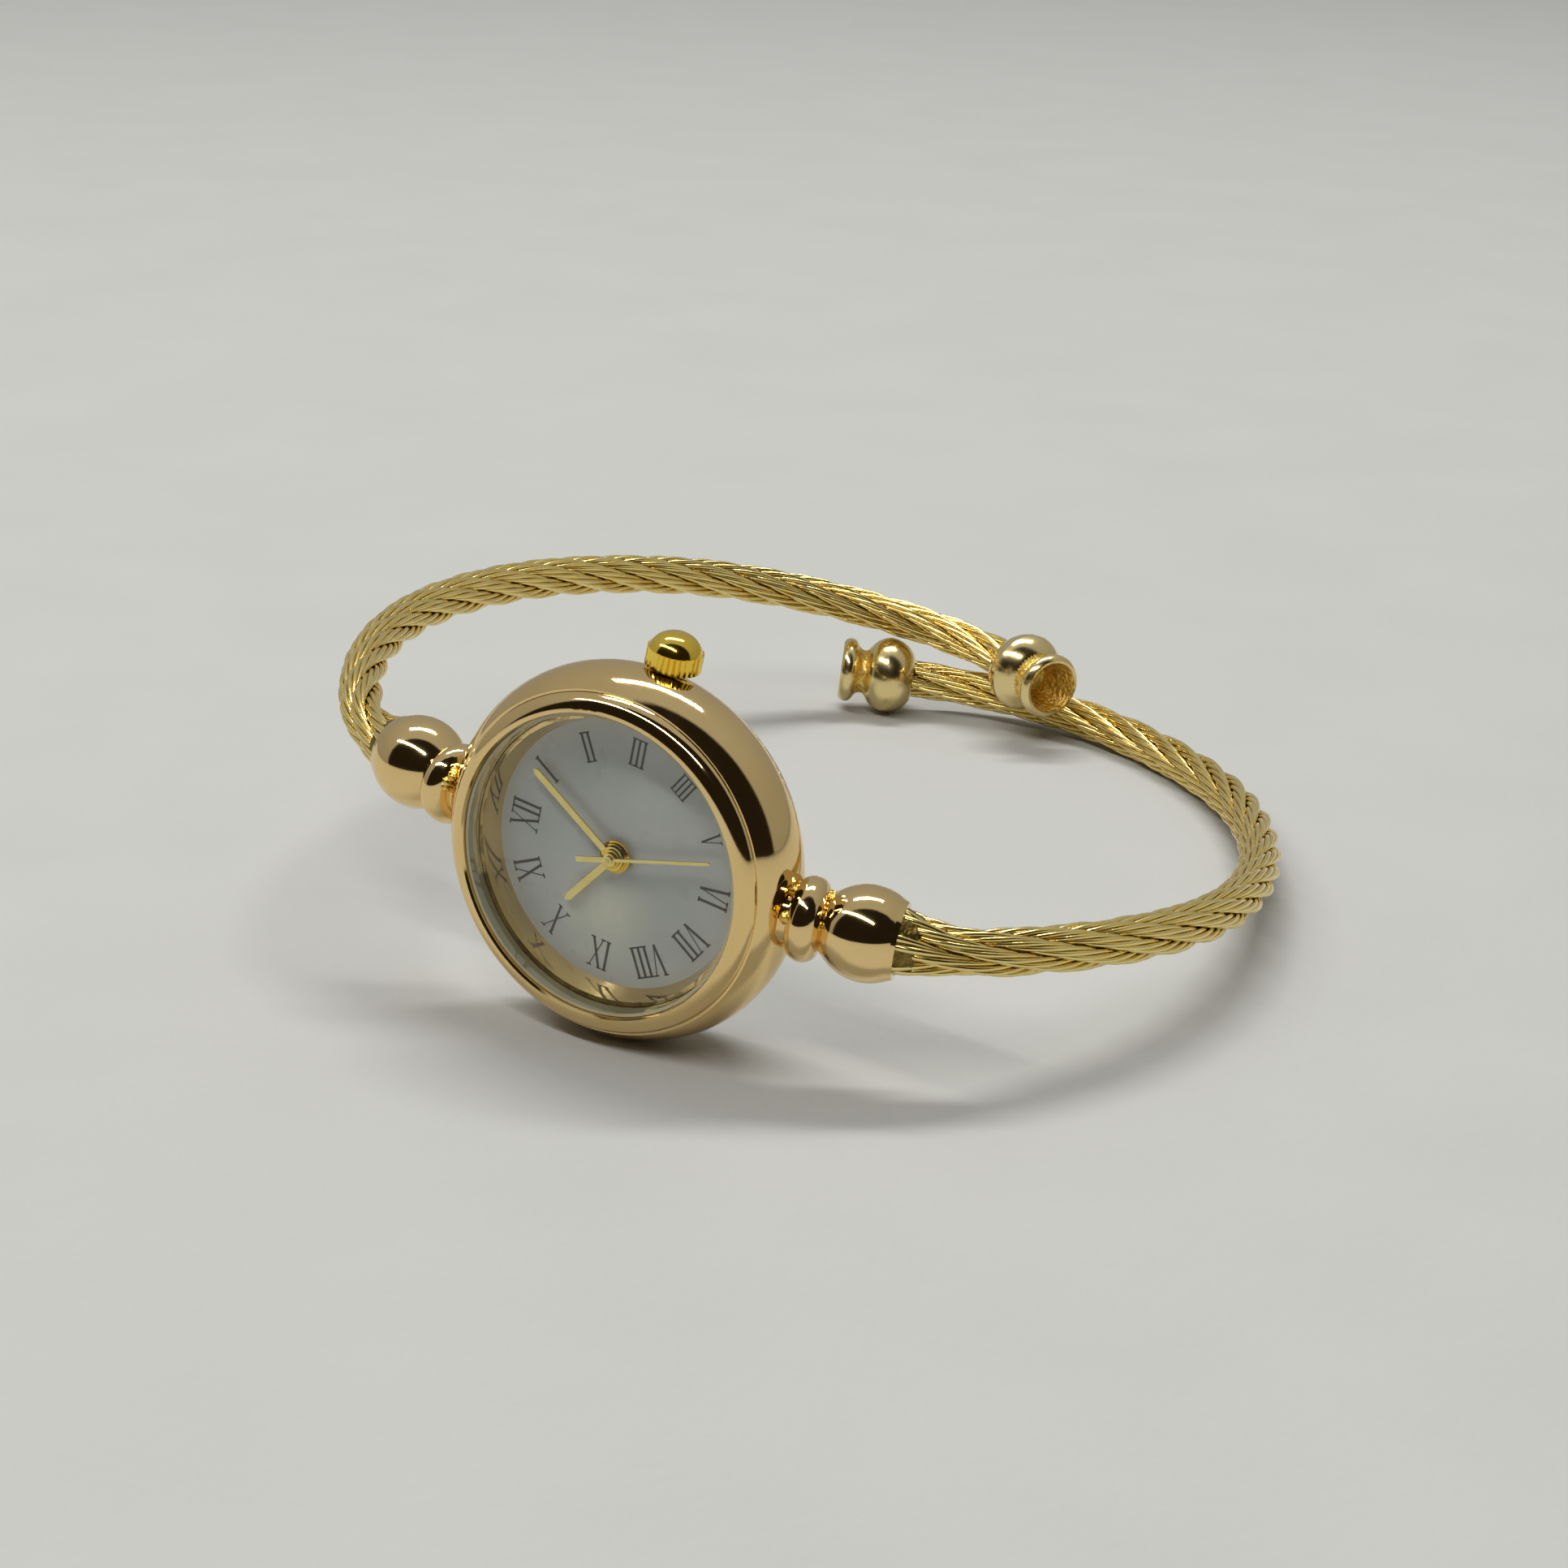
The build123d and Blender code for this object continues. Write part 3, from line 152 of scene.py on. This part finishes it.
# Room: even light with a dark cone round the camera's side, which the polished gold mirrors.
# DARK_EDGE and DARK_SOFT are cosines from the cone's middle
FLOOR_HALF = 3.0
WORLD_STRENGTH = 0.53
ROOM_TONES = ((0.0, (0.60, 0.60, 0.57)), (0.3, (0.66, 0.66, 0.64)), (1.0, (0.85, 0.86, 0.86)))
DARK_TONE = (0.030, 0.024, 0.018)
DARK_AZIMUTH = -6.0
DARK_RISE = 0.12
DARK_EDGE = 0.30
DARK_SOFT = 0.07

# Lamps: name, azimuth from the camera's side, elevation, distance, size, power, colour
LAMPS = (("lamp_top", 178, 70, 0.9, (0.70, 0.09), 4.8, (1.0, 0.99, 0.96)),
         ("lamp_front", -40, 57, 0.9, (1.2, 0.06), 4.6, (1.0, 0.98, 0.94)))


def dial_place(turn=0.0):
    """The dial's frame, in metres, turned about the dial's axis."""
    axes = Matrix((TO_THREE, TO_TWELVE, DIAL_OUT)).transposed().to_4x4()
    return Matrix.Translation(DIAL_CENTRE) @ axes @ Matrix.Rotation(math.radians(turn), 4, "Z")


# Materials


def new_material(name):
    material = bpy.data.materials.new(name)
    material.use_nodes = True
    nodes = material.node_tree.nodes
    nodes.clear()
    return material, nodes, material.node_tree.links


def noise(nodes, links, scale, detail=3.0, stretch=None):
    """Noise in the object's own space, per metre."""
    where = nodes.new("ShaderNodeTexCoord")
    texture = nodes.new("ShaderNodeTexNoise")
    texture.inputs["Scale"].default_value = scale
    texture.inputs["Detail"].default_value = detail
    if stretch:
        mapping = nodes.new("ShaderNodeMapping")
        mapping.inputs["Scale"].default_value = stretch
        links.new(where.outputs["Object"], mapping.inputs["Vector"])
        links.new(mapping.outputs["Vector"], texture.inputs["Vector"])
    else:
        links.new(where.outputs["Object"], texture.inputs["Vector"])
    return texture.outputs["Fac"]


def ramp(nodes, links, source, stops):
    """A colour ramp through (place, colour) stops."""
    node = nodes.new("ShaderNodeValToRGB")
    points = node.color_ramp.elements
    while len(points) < len(stops):
        points.new(0.5)
    for point, (place, colour) in zip(points, stops):
        point.position = place
        point.color = (*colour, 1.0)
    links.new(source, node.inputs["Fac"])
    return node.outputs["Color"]


def spread(nodes, links, source, low, high):
    """Maps the middle of the noise to low..high."""
    node = nodes.new("ShaderNodeMapRange")
    node.inputs["From Min"].default_value = NOISE_LOW
    node.inputs["From Max"].default_value = NOISE_HIGH
    node.inputs["To Min"].default_value = low
    node.inputs["To Max"].default_value = high
    links.new(source, node.inputs["Value"])
    return node.outputs["Result"]


def blend_in(nodes, links, factor, under, colour):
    """Goes from the colour under it to a fixed colour as the factor rises."""
    mix = nodes.new("ShaderNodeMix")
    mix.data_type = "RGBA"
    mix.inputs["B"].default_value = (*colour, 1.0)
    links.new(factor, mix.inputs["Factor"])
    links.new(under, mix.inputs["A"])
    return mix.outputs["Result"]


def finish_material(name, light, dark, metallic=1.0, rough=(0.06, 0.12), tone_scale=220.0,
                    bump_scale=900.0, bump=0.02, stretch=None, coat=0.0, specular=0.5):
    """A surface whose tone, gloss and fine relief all vary a little."""
    material, nodes, links = new_material(name)
    out = nodes.new("ShaderNodeOutputMaterial")
    shader = nodes.new("ShaderNodeBsdfPrincipled")
    shader.inputs["Metallic"].default_value = metallic
    shader.inputs["Coat Weight"].default_value = coat
    shader.inputs["Specular IOR Level"].default_value = specular
    tone = noise(nodes, links, tone_scale, 2.0, stretch)
    colour = ramp(nodes, links, tone, ((NOISE_LOW, dark), (NOISE_HIGH, light)))
    links.new(colour, shader.inputs["Base Color"])
    grain = noise(nodes, links, tone_scale * GRAIN_FINER, 4.0, stretch)
    links.new(spread(nodes, links, grain, *rough), shader.inputs["Roughness"])
    relief = nodes.new("ShaderNodeBump")
    relief.inputs["Strength"].default_value = bump
    relief.inputs["Distance"].default_value = RELIEF_DEPTH
    links.new(noise(nodes, links, bump_scale, 2.0, stretch), relief.inputs["Height"])
    links.new(relief.outputs["Normal"], shader.inputs["Normal"])
    links.new(shader.outputs["BSDF"], out.inputs["Surface"])
    return material


def glass_material(name):
    """Clear glass: straight-through, with a Fresnel sheen."""
    material, nodes, links = new_material(name)
    out = nodes.new("ShaderNodeOutputMaterial")
    clear = nodes.new("ShaderNodeBsdfTransparent")
    clear.inputs["Color"].default_value = (*GLASS_TINT, 1.0)
    gloss = nodes.new("ShaderNodeBsdfGlossy")
    gloss.inputs["Roughness"].default_value = GLASS_ROUGH
    fresnel = nodes.new("ShaderNodeFresnel")
    fresnel.inputs["IOR"].default_value = GLASS_INDEX
    faint = nodes.new("ShaderNodeMath")
    faint.operation = "MULTIPLY"
    faint.inputs[1].default_value = GLASS_SHEEN
    mix = nodes.new("ShaderNodeMixShader")
    links.new(fresnel.outputs["Fac"], faint.inputs[0])
    links.new(faint.outputs["Value"], mix.inputs["Fac"])
    links.new(clear.outputs["BSDF"], mix.inputs[1])
    links.new(gloss.outputs["BSDF"], mix.inputs[2])
    links.new(mix.outputs["Shader"], out.inputs["Surface"])
    return material


GOLD_LIGHT = (0.86, 0.64, 0.30)
GOLD_DARK = (0.82, 0.59, 0.26)
case_gold = finish_material("case_gold", GOLD_LIGHT, GOLD_DARK, rough=(0.05, 0.09), bump=0.010)
lug_gold = finish_material("lug_gold", GOLD_LIGHT, GOLD_DARK, rough=(0.05, 0.10), bump=0.014)
crown_gold = finish_material("crown_gold", (0.97, 0.72, 0.13), (0.90, 0.62, 0.08),
                             rough=(0.08, 0.14), bump=0.02)
cap_gold = finish_material("cap_gold", (0.85, 0.69, 0.34), (0.81, 0.64, 0.29),
                           rough=(0.15, 0.24), bump=0.03)
rope_gold = finish_material("rope_gold", (0.93, 0.755, 0.305), (0.86, 0.665, 0.235),
                            rough=(0.14, 0.24), tone_scale=500.0, bump=0.02)
# Painted shade: near-black gold on each lug's cone, where the rope leaves the bead
cone_painted_shade = finish_material("cone_painted_shade", (0.27, 0.19, 0.05), (0.14, 0.09, 0.02),
                            rough=(0.3, 0.45), tone_scale=1800.0, bump_scale=2600.0, bump=0.8)
# Painted shade: the rope's core is dark so the gaps between the strands look shadowed
rope_core = finish_material("rope_core", (0.34, 0.27, 0.12), (0.26, 0.20, 0.08),
                            rough=(0.35, 0.5), bump=0.02)
hand_gold = finish_material("hand_gold", (0.93, 0.74, 0.30), (0.87, 0.66, 0.23),
                            rough=(0.20, 0.28), tone_scale=900.0)
solder_gold = finish_material("solder_gold", (0.95, 0.68, 0.17), (0.66, 0.40, 0.08),
                              rough=(0.22, 0.36), tone_scale=1500.0, bump_scale=3500.0, bump=0.5)
steel = finish_material("steel", (0.62, 0.62, 0.61), (0.50, 0.50, 0.50), rough=(0.16, 0.26))
back_steel = finish_material("back_steel", (0.66, 0.65, 0.63), (0.55, 0.54, 0.52),
                             rough=(0.14, 0.24), stretch=(1.0, 1.0, 14.0))
brass = finish_material("brass", (0.78, 0.60, 0.28), (0.66, 0.49, 0.21), rough=(0.20, 0.32))
plate_brass = finish_material("plate_brass", (0.72, 0.58, 0.32), (0.62, 0.48, 0.25),
                              rough=(0.24, 0.36))
copper = finish_material("copper", (0.80, 0.36, 0.17), (0.62, 0.25, 0.11), rough=(0.25, 0.4),
                         tone_scale=1200.0, stretch=(12.0, 1.0, 1.0))
soft_iron = finish_material("soft_iron", (0.46, 0.46, 0.48), (0.36, 0.36, 0.38),
                            rough=(0.3, 0.42))
rubber = finish_material("rubber", (0.05, 0.05, 0.05), (0.03, 0.03, 0.03), metallic=0.0,
                         rough=(0.55, 0.75), bump=0.1)
clear_gasket = finish_material("clear_gasket", (0.58, 0.52, 0.33), (0.46, 0.40, 0.24),
                               metallic=0.0, rough=(0.15, 0.25), coat=0.5)
holder_plastic = finish_material("holder_plastic", (0.72, 0.72, 0.70), (0.64, 0.64, 0.62),
                                 metallic=0.0, rough=(0.4, 0.55), bump=0.05)
board_green = finish_material("board_green", (0.05, 0.19, 0.08), (0.03, 0.13, 0.05),
                              metallic=0.0, rough=(0.3, 0.45))
ink = finish_material("ink", (0.13, 0.115, 0.10), (0.085, 0.075, 0.062), metallic=0.0,
                      rough=(0.5, 0.65))
hollow_amber = finish_material("hollow_amber", (0.98, 0.74, 0.24), (0.70, 0.44, 0.08),
                               rough=(0.3, 0.5), tone_scale=2200.0, bump_scale=3200.0, bump=1.0)
hub_gold = finish_material("hub_gold", (0.95, 0.66, 0.07), (0.66, 0.40, 0.03),
                           rough=(0.10, 0.18), tone_scale=900.0)
glass = glass_material("glass")


def pearl_material(name):
    """Mother-of-pearl: pale and a little blue, with soft clouds and one brighter cloud."""
    material, nodes, links = new_material(name)
    out = nodes.new("ShaderNodeOutputMaterial")
    shader = nodes.new("ShaderNodeBsdfPrincipled")
    shader.inputs["Coat Weight"].default_value = PEARL_COAT
    clouds = ramp(nodes, links, noise(nodes, links, PEARL_SCALE, 3.0),
                  ((NOISE_LOW, PEARL_DARK), (NOISE_HIGH, PEARL_LIGHT)))
    where = nodes.new("ShaderNodeTexCoord")
    away = nodes.new("ShaderNodeVectorMath")
    away.operation = "DISTANCE"
    spot = dial_place() @ Vector(CLOUD_PLACE)
    away.inputs[1].default_value = frame["nodes"]["dial"].matrix_world.inverted() @ spot
    links.new(where.outputs["Object"], away.inputs[0])
    glow = ramp(nodes, links, away.outputs["Value"], ((0.0, (1, 1, 1)), (CLOUD_SIZE, (0, 0, 0))))
    links.new(blend_in(nodes, links, glow, clouds, PEARL_CLOUD), shader.inputs["Base Color"])
    links.new(spread(nodes, links, noise(nodes, links, PEARL_GRAIN, 2.0), *PEARL_ROUGH),
              shader.inputs["Roughness"])
    links.new(shader.outputs["BSDF"], out.inputs["Surface"])
    return material


pearl = pearl_material("pearl")

NODE_FINISH = {
    "case_body": case_gold, "bezel": case_gold, "crystal": glass,
    "crystal_gasket": clear_gasket, "dial_flange": case_gold, "case_back": back_steel,
    "back_gasket": rubber, "dial": pearl, "hour_hand": hand_gold, "minute_hand": hand_gold,
    "second_hand": hand_gold, "crown": crown_gold, "winding_stem": steel, "crown_tube": steel,
    "crown_gasket": rubber, "clutch_pinion": steel, "setting_lever": steel,
    "lug_12": lug_gold, "lug_6": lug_gold, "rope_12": rope_gold, "rope_6": rope_gold,
    "end_cap_12": cap_gold, "end_cap_6": cap_gold, "movement_holder": holder_plastic,
    "main_plate": plate_brass, "train_bridge": plate_brass, "movement_screws": steel,
    "battery": steel, "battery_clamp": steel, "coil": copper, "stator": soft_iron,
    "circuit_board": board_green, "quartz_can": steel, "rotor": soft_iron,
    "fifth_wheel": brass, "fourth_wheel": brass, "third_wheel": brass, "centre_wheel": brass,
    "minute_wheel": brass, "hour_wheel": brass,
}
for node_name, node in frame["nodes"].items():
    node.data.materials.clear()
    node.data.materials.append(NODE_FINISH[node_name])


def add_piece(name, points, faces, material, body, smooth=False):
    """A new mesh piece from points in metres."""
    mesh = bpy.data.meshes.new(name)
    mesh.from_pydata([tuple(point) for point in points], [], faces)
    mesh.materials.append(material)
    if smooth:
        mesh.polygons.foreach_set("use_smooth", [True] * len(mesh.polygons))
    mesh.update()
    piece = bpy.data.objects.new(name, mesh)
    bpy.context.scene.collection.objects.link(piece)
    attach(piece, body)
    return piece


# Wire ropes


def arm_line(side, bends):
    """The arm's middle line in the lug frame, in mm, with its start and end straight runs."""
    root, ahead = lug_axis(side)
    up = Vector((1, 0, 0))
    inward = ahead.cross(up) * side
    point = root + ahead * LUG_FACE
    line = [point - ahead * ROPE_STEP, point.copy()]
    for radius, angle, roll in bends:
        turn, whole = math.radians(roll), math.radians(angle)
        inward, up = (inward * math.cos(turn) + up * math.sin(turn),
                      up * math.cos(turn) - inward * math.sin(turn))
        centre = point + inward * radius
        steps = max(2, round(radius * whole / ROPE_STEP))
        for step in range(1, steps + 1):
            part = whole * step / steps
            line.append(centre - inward * (radius * math.cos(part))
                        + ahead * (radius * math.sin(part)))
        point = line[-1].copy()
        ahead, inward = (ahead * math.cos(whole) + inward * math.sin(whole),
                         inward * math.cos(whole) - ahead * math.sin(whole))
    steps = max(2, round(CAP_ENTRY / ROPE_STEP))
    for step in range(1, steps + 1):
        line.append(point + ahead * (CAP_ENTRY * step / steps))
    return line


def line_frames(line):
    """For each point: place along the line, tangent and a frame that doesn't twist."""
    frames = []
    side = Vector((1, 0, 0))
    run = 0.0
    for index, point in enumerate(line):
        before = line[max(0, index - 1)]
        after = line[min(len(line) - 1, index + 1)]
        ahead = (after - before).normalized()
        side = (side - ahead * side.dot(ahead)).normalized()
        if index:
            run += (point - before).length
        frames.append((run, point, ahead, side, ahead.cross(side)))
    return frames


def tube_rings(centres, radii, sides, points, faces):
    """Adds a round tube through the centres, with one radius for each."""
    first = len(points)
    side = TUBE_START
    for index, centre in enumerate(centres):
        before, after = centres[max(0, index - 1)], centres[min(len(centres) - 1, index + 1)]
        ahead = (after - before).normalized()
        side = (side - ahead * side.dot(ahead)).normalized()
        other = ahead.cross(side)
        for corner in range(sides):
            angle = 2 * math.pi * corner / sides
            out = side * math.cos(angle) + other * math.sin(angle)
            points.append(centre + out * radii[index])
    for ring in range(len(centres) - 1):
        low = first + ring * sides
        for corner in range(sides):
            beside = (corner + 1) % sides
            faces.append((low + corner, low + beside, low + sides + beside, low + sides + corner))


def wire_rope(name, side, bends):
    """One arm: strands of wires round a core. Gives the middle and direction of its far end."""
    place = dial_place(LUG_CLOCK) @ Matrix.Scale(MM, 4)
    frames = line_frames(arm_line(side, bends))
    points, faces = [], []
    for strand in range(STRANDS):
        for wire in range(STRAND_WIRES):
            centres, radii = [], []
            for run, middle, ahead, across, other in frames:
                near = min(1.0, max(0.0, 1 - (run - ROPE_STEP) / FLARE_LENGTH))
                flare = near ** FLARE_POWER
                strand_out = STRAND_PITCH_RADIUS + FLARE_PITCH * flare
                thicken = 1 + FLARE_THICKEN * flare
                turn = 2 * math.pi * (strand / STRANDS + run / ROPE_LAYS[name])
                out = across * math.cos(turn) + other * math.sin(turn)
                round_way = ahead.cross(out)
                twist = 2 * math.pi * (wire / STRAND_WIRES - run / WIRE_LAY)
                spread_out = WIRE_PITCH_RADIUS * thicken
                centres.append(middle + out * (strand_out + spread_out * math.cos(twist))
                               + round_way * (spread_out * math.sin(twist)))
                radii.append(WIRE_RADIUS * thicken)
            tube_rings(centres, radii, WIRE_SIDES, points, faces)
    rope = add_piece(name + "_wires", [place @ point for point in points], faces,
                     rope_gold, "watch", smooth=True)
    # The core's dark colour is painted shade in the gaps between the strands
    core_points, core_faces = [], []
    tube_rings([entry[1] for entry in frames], [CORE_RADIUS] * len(frames), CORE_SIDES,
               core_points, core_faces)
    add_piece(name + "_core", [place @ point for point in core_points], core_faces,
              rope_core, "watch", smooth=True)
    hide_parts(name)
    cap_end = place @ frames[-1][1]
    return cap_end, (place.to_3x3() @ frames[-1][2]).normalized()


def refinish(node, finish, zero, ahead, start, wide):
    """Another finish for a turned piece's faces beyond start and within wide of its axis."""
    mesh = node.data
    mesh.materials.append(finish)
    for face in mesh.polygons:
        reach = node.matrix_world @ face.center - zero
        along = reach.dot(ahead) / MM
        across = (reach - ahead * reach.dot(ahead)).length / MM
        if along > start and across < wide:
            face.material_index = len(mesh.materials) - 1


def lug_axis(side):
    """The lug's root and direction in the lug frame, in mm."""
    tilt = math.radians(LUG_TILT)
    return (Vector((0, side * LUG_ROOT, CASE_MIDDLE)),
            Vector((0, side * math.cos(tilt), -math.sin(tilt))))


for arm, arm_side, arm_bends in (("12", 1, BENDS_12), ("6", -1, BENDS_6)):
    ball, way_out = wire_rope("rope_" + arm, arm_side, arm_bends)
    refinish(frame["nodes"]["end_cap_" + arm], hollow_amber, ball, way_out,
             HOLLOW_START, HOLLOW_WIDE)
    lug_root, lug_ahead = lug_axis(arm_side)
    lug_place = dial_place(LUG_CLOCK)
    # Painted shade on the lug's cone beyond its face
    refinish(frame["nodes"]["lug_" + arm], cone_painted_shade, lug_place @ (lug_root * MM),
             lug_place.to_3x3() @ lug_ahead, LUG_FACE + FACE_MARGIN, CONE_WIDE)


# The bosses of the two lower hands are a darker gold than their blades
for hand, hub_wide in (("hour_hand", HOUR_HUB), ("minute_hand", MINUTE_HUB)):
    refinish(frame["nodes"][hand], hub_gold, DIAL_CENTRE, DIAL_OUT, HUB_START, hub_wide)


# Solder at the lugs


def lump(centre, radius, points, faces):
    """A rough grain of solder: a ball of rings whose points go in and out a little."""
    first, sides = len(points), LUMP_SIDES
    for ring in range(LUMP_RINGS + 1):
        fall = math.pi * (ring + 0.5) / (LUMP_RINGS + 1)
        for side in range(sides):
            angle = 2 * math.pi * side / sides
            rough = radius * random.uniform(*LUMP_ROUGH)
            points.append(centre + Vector((math.sin(fall) * math.cos(angle),
                                           math.sin(fall) * math.sin(angle),
                                           math.cos(fall))) * rough)
    for ring in range(LUMP_RINGS):
        low = first + ring * sides
        for side in range(sides):
            beside = (side + 1) % sides
            faces.append((low + side, low + sides + side, low + sides + beside, low + beside))
    last = first + LUMP_RINGS * sides
    faces.append(tuple(range(first, first + sides)))
    faces.append(tuple(reversed(range(last, last + sides))))


def solder(arm_name, side):
    """Grains of solder on the upper side of a lug, beside the case and between its beads."""
    place = dial_place(LUG_CLOCK) @ Matrix.Scale(MM, 4)
    root, ahead = lug_axis(side)
    across = Vector((1, 0, 0))
    outward = across.cross(ahead) * side
    points, faces = [], []
    for along, reach, count in SOLDER_SPOTS:
        middle = root + ahead * along
        for _ in range(count):
            angle = math.radians(random.uniform(-LUMP_SPREAD, LUMP_SPREAD))
            size = random.uniform(LUMP_LOW, LUMP_HIGH)
            spot = middle + ahead * random.uniform(-size, size)
            spot += (across * math.cos(angle) + outward * math.sin(angle)) * (reach - size / 2)
            lump(place @ spot, size * MM, points, faces)
    add_piece("solder_" + arm_name, points, faces, solder_gold, "watch",
              smooth=True)


random.seed(SOLDER_SEED)
solder("12", 1)
solder("6", -1)


# Printed numerals


def numeral_quads(text):
    """Quads of a Roman numeral in its own frame: x to the right, y up, middle at zero."""
    left = -(sum(LETTER_WIDTH[letter] for letter in text) + LETTER_GAP * (len(text) - 1)) / 2
    low, high = -NUMERAL_HEIGHT / 2, NUMERAL_HEIGHT / 2
    quads = []

    def stroke(x_low, x_high, thickness):
        half = thickness / 2
        quads.append(((x_low - half, low), (x_low + half, low),
                      (x_high + half, high), (x_high - half, high)))

    def bar(x_left, x_right, y_low):
        quads.append(((x_left, y_low), (x_right, y_low),
                      (x_right, y_low + BAR_HEIGHT), (x_left, y_low + BAR_HEIGHT)))

    def serif(x_middle, y_low):
        bar(x_middle - BAR_REACH, x_middle + BAR_REACH, y_low)

    ones = []
    for letter in text:
        wide = LETTER_WIDTH[letter]
        middle, right = left + wide / 2, left + wide
        thick_end, thin_end = left + THICK / 2, right - THIN
        if letter == "I":
            stroke(middle, middle, THICK)
            ones.append(middle)
        if letter == "V":
            stroke(middle, thick_end, THICK)
            stroke(middle, thin_end, THIN)
            serif(thick_end, high - BAR_HEIGHT)
            serif(thin_end, high - BAR_HEIGHT)
        if letter == "X":
            stroke(right - THICK / 2, thick_end, THICK)
            stroke(left + THIN, thin_end, THIN)
            for place in (thick_end, thin_end):
                serif(place, high - BAR_HEIGHT)
                serif(place, low)
        left = right + LETTER_GAP
    if ones:
        for y_low in (high - BAR_HEIGHT, low):
            bar(ones[0] - BAR_REACH, ones[-1] + BAR_REACH, y_low)
    share = NUMERAL_SHARES.get(text, 1.0)
    return [[(x * share, y * share) for x, y in quad] for quad in quads]


def numerals():
    """The hour ring. The top of each numeral points outwards."""
    place = dial_place() @ Matrix.Scale(MM, 4)
    points, faces = [], []
    for hour, text in enumerate(NUMERALS):
        turn = -2 * math.pi * hour / len(NUMERALS)
        for quad in numeral_quads(text):
            first = len(points)
            for x, y in quad:
                flat = Vector((x, y + NUMERAL_MIDDLE, PRINT_HEIGHT))
                points.append(place @ (Matrix.Rotation(turn, 3, "Z") @ flat))
            faces.append((first, first + 1, first + 2, first + 3))
    add_piece("dial_numerals", points, faces, ink, "watch")


numerals()

# Stage, camera and light

camera_data = bpy.data.cameras.new("camera")
camera_data.lens = LENS
camera_data.sensor_width = SENSOR
camera_data.clip_start = CLIP_NEAR
camera_data.clip_end = CLIP_FAR
camera = bpy.data.objects.new("camera", camera_data)
camera.matrix_world = (Matrix.Translation(CAMERA_PLACE)
                       @ Matrix((CAMERA_RIGHT, CAMERA_UP, -CAMERA_AHEAD)).transposed().to_4x4())
bpy.context.scene.collection.objects.link(camera)
bpy.context.scene.camera = camera

floor_finish = finish_material("floor_paper", (0.525, 0.53, 0.518), (0.510, 0.515, 0.503),
                               metallic=0.0, rough=(0.75, 0.9), tone_scale=60.0,
                               bump_scale=900.0, bump=0.25, specular=0.2)
floor_mesh = bpy.data.meshes.new("floor")
floor_mesh.from_pydata([(-FLOOR_HALF, -FLOOR_HALF, 0), (FLOOR_HALF, -FLOOR_HALF, 0),
                        (FLOOR_HALF, FLOOR_HALF, 0), (-FLOOR_HALF, FLOOR_HALF, 0)], [],
                       [(0, 1, 2, 3)])
floor_mesh.materials.append(floor_finish)
floor = bpy.data.objects.new("floor", floor_mesh)
bpy.context.scene.collection.objects.link(floor)


def level_way(azimuth):
    """A level direction out from the watch. Azimuth 0 points to the camera."""
    return Matrix.Rotation(math.radians(azimuth), 3, "Z") @ CAMERA_FLAT


def area_light(name, azimuth, elevation, distance, size, power, colour):
    """A soft lamp that faces the watch."""
    rise = math.radians(elevation)
    way = level_way(azimuth) * math.cos(rise) + Vector((0, 0, 1)) * math.sin(rise)
    data = bpy.data.lights.new(name, "AREA")
    data.shape = "RECTANGLE"
    data.size, data.size_y = size
    data.energy = power
    data.color = colour
    lamp = bpy.data.objects.new(name, data)
    lamp.matrix_world = (Matrix.Translation(way * distance)
                         @ way.to_track_quat("Z", "Y").to_matrix().to_4x4())
    bpy.context.scene.collection.objects.link(lamp)


for lamp_values in LAMPS:
    area_light(*lamp_values)


def room():
    """World light: even and pale, with a dark cone on the camera's side."""
    world = bpy.data.worlds.new("room")
    bpy.context.scene.world = world
    world.use_nodes = True
    nodes, links = world.node_tree.nodes, world.node_tree.links
    nodes.clear()
    out = nodes.new("ShaderNodeOutputWorld")
    light = nodes.new("ShaderNodeBackground")
    where = nodes.new("ShaderNodeTexCoord")
    split = nodes.new("ShaderNodeSeparateXYZ")
    links.new(where.outputs["Generated"], split.inputs["Vector"])
    dot = nodes.new("ShaderNodeVectorMath")
    dot.operation = "DOT_PRODUCT"
    middle = level_way(DARK_AZIMUTH)
    middle.z = DARK_RISE
    dot.inputs[1].default_value = middle.normalized()
    links.new(where.outputs["Generated"], dot.inputs[0])
    cone = ramp(nodes, links, dot.outputs["Value"],
                ((DARK_EDGE - DARK_SOFT, (0, 0, 0)), (DARK_EDGE, (1, 1, 1))))
    pale = ramp(nodes, links, split.outputs["Z"], ROOM_TONES)
    links.new(blend_in(nodes, links, cone, pale, DARK_TONE), light.inputs["Color"])
    light.inputs["Strength"].default_value = WORLD_STRENGTH
    links.new(light.outputs["Background"], out.inputs["Surface"])


room()
bpy.context.scene.view_settings.view_transform = "Standard"
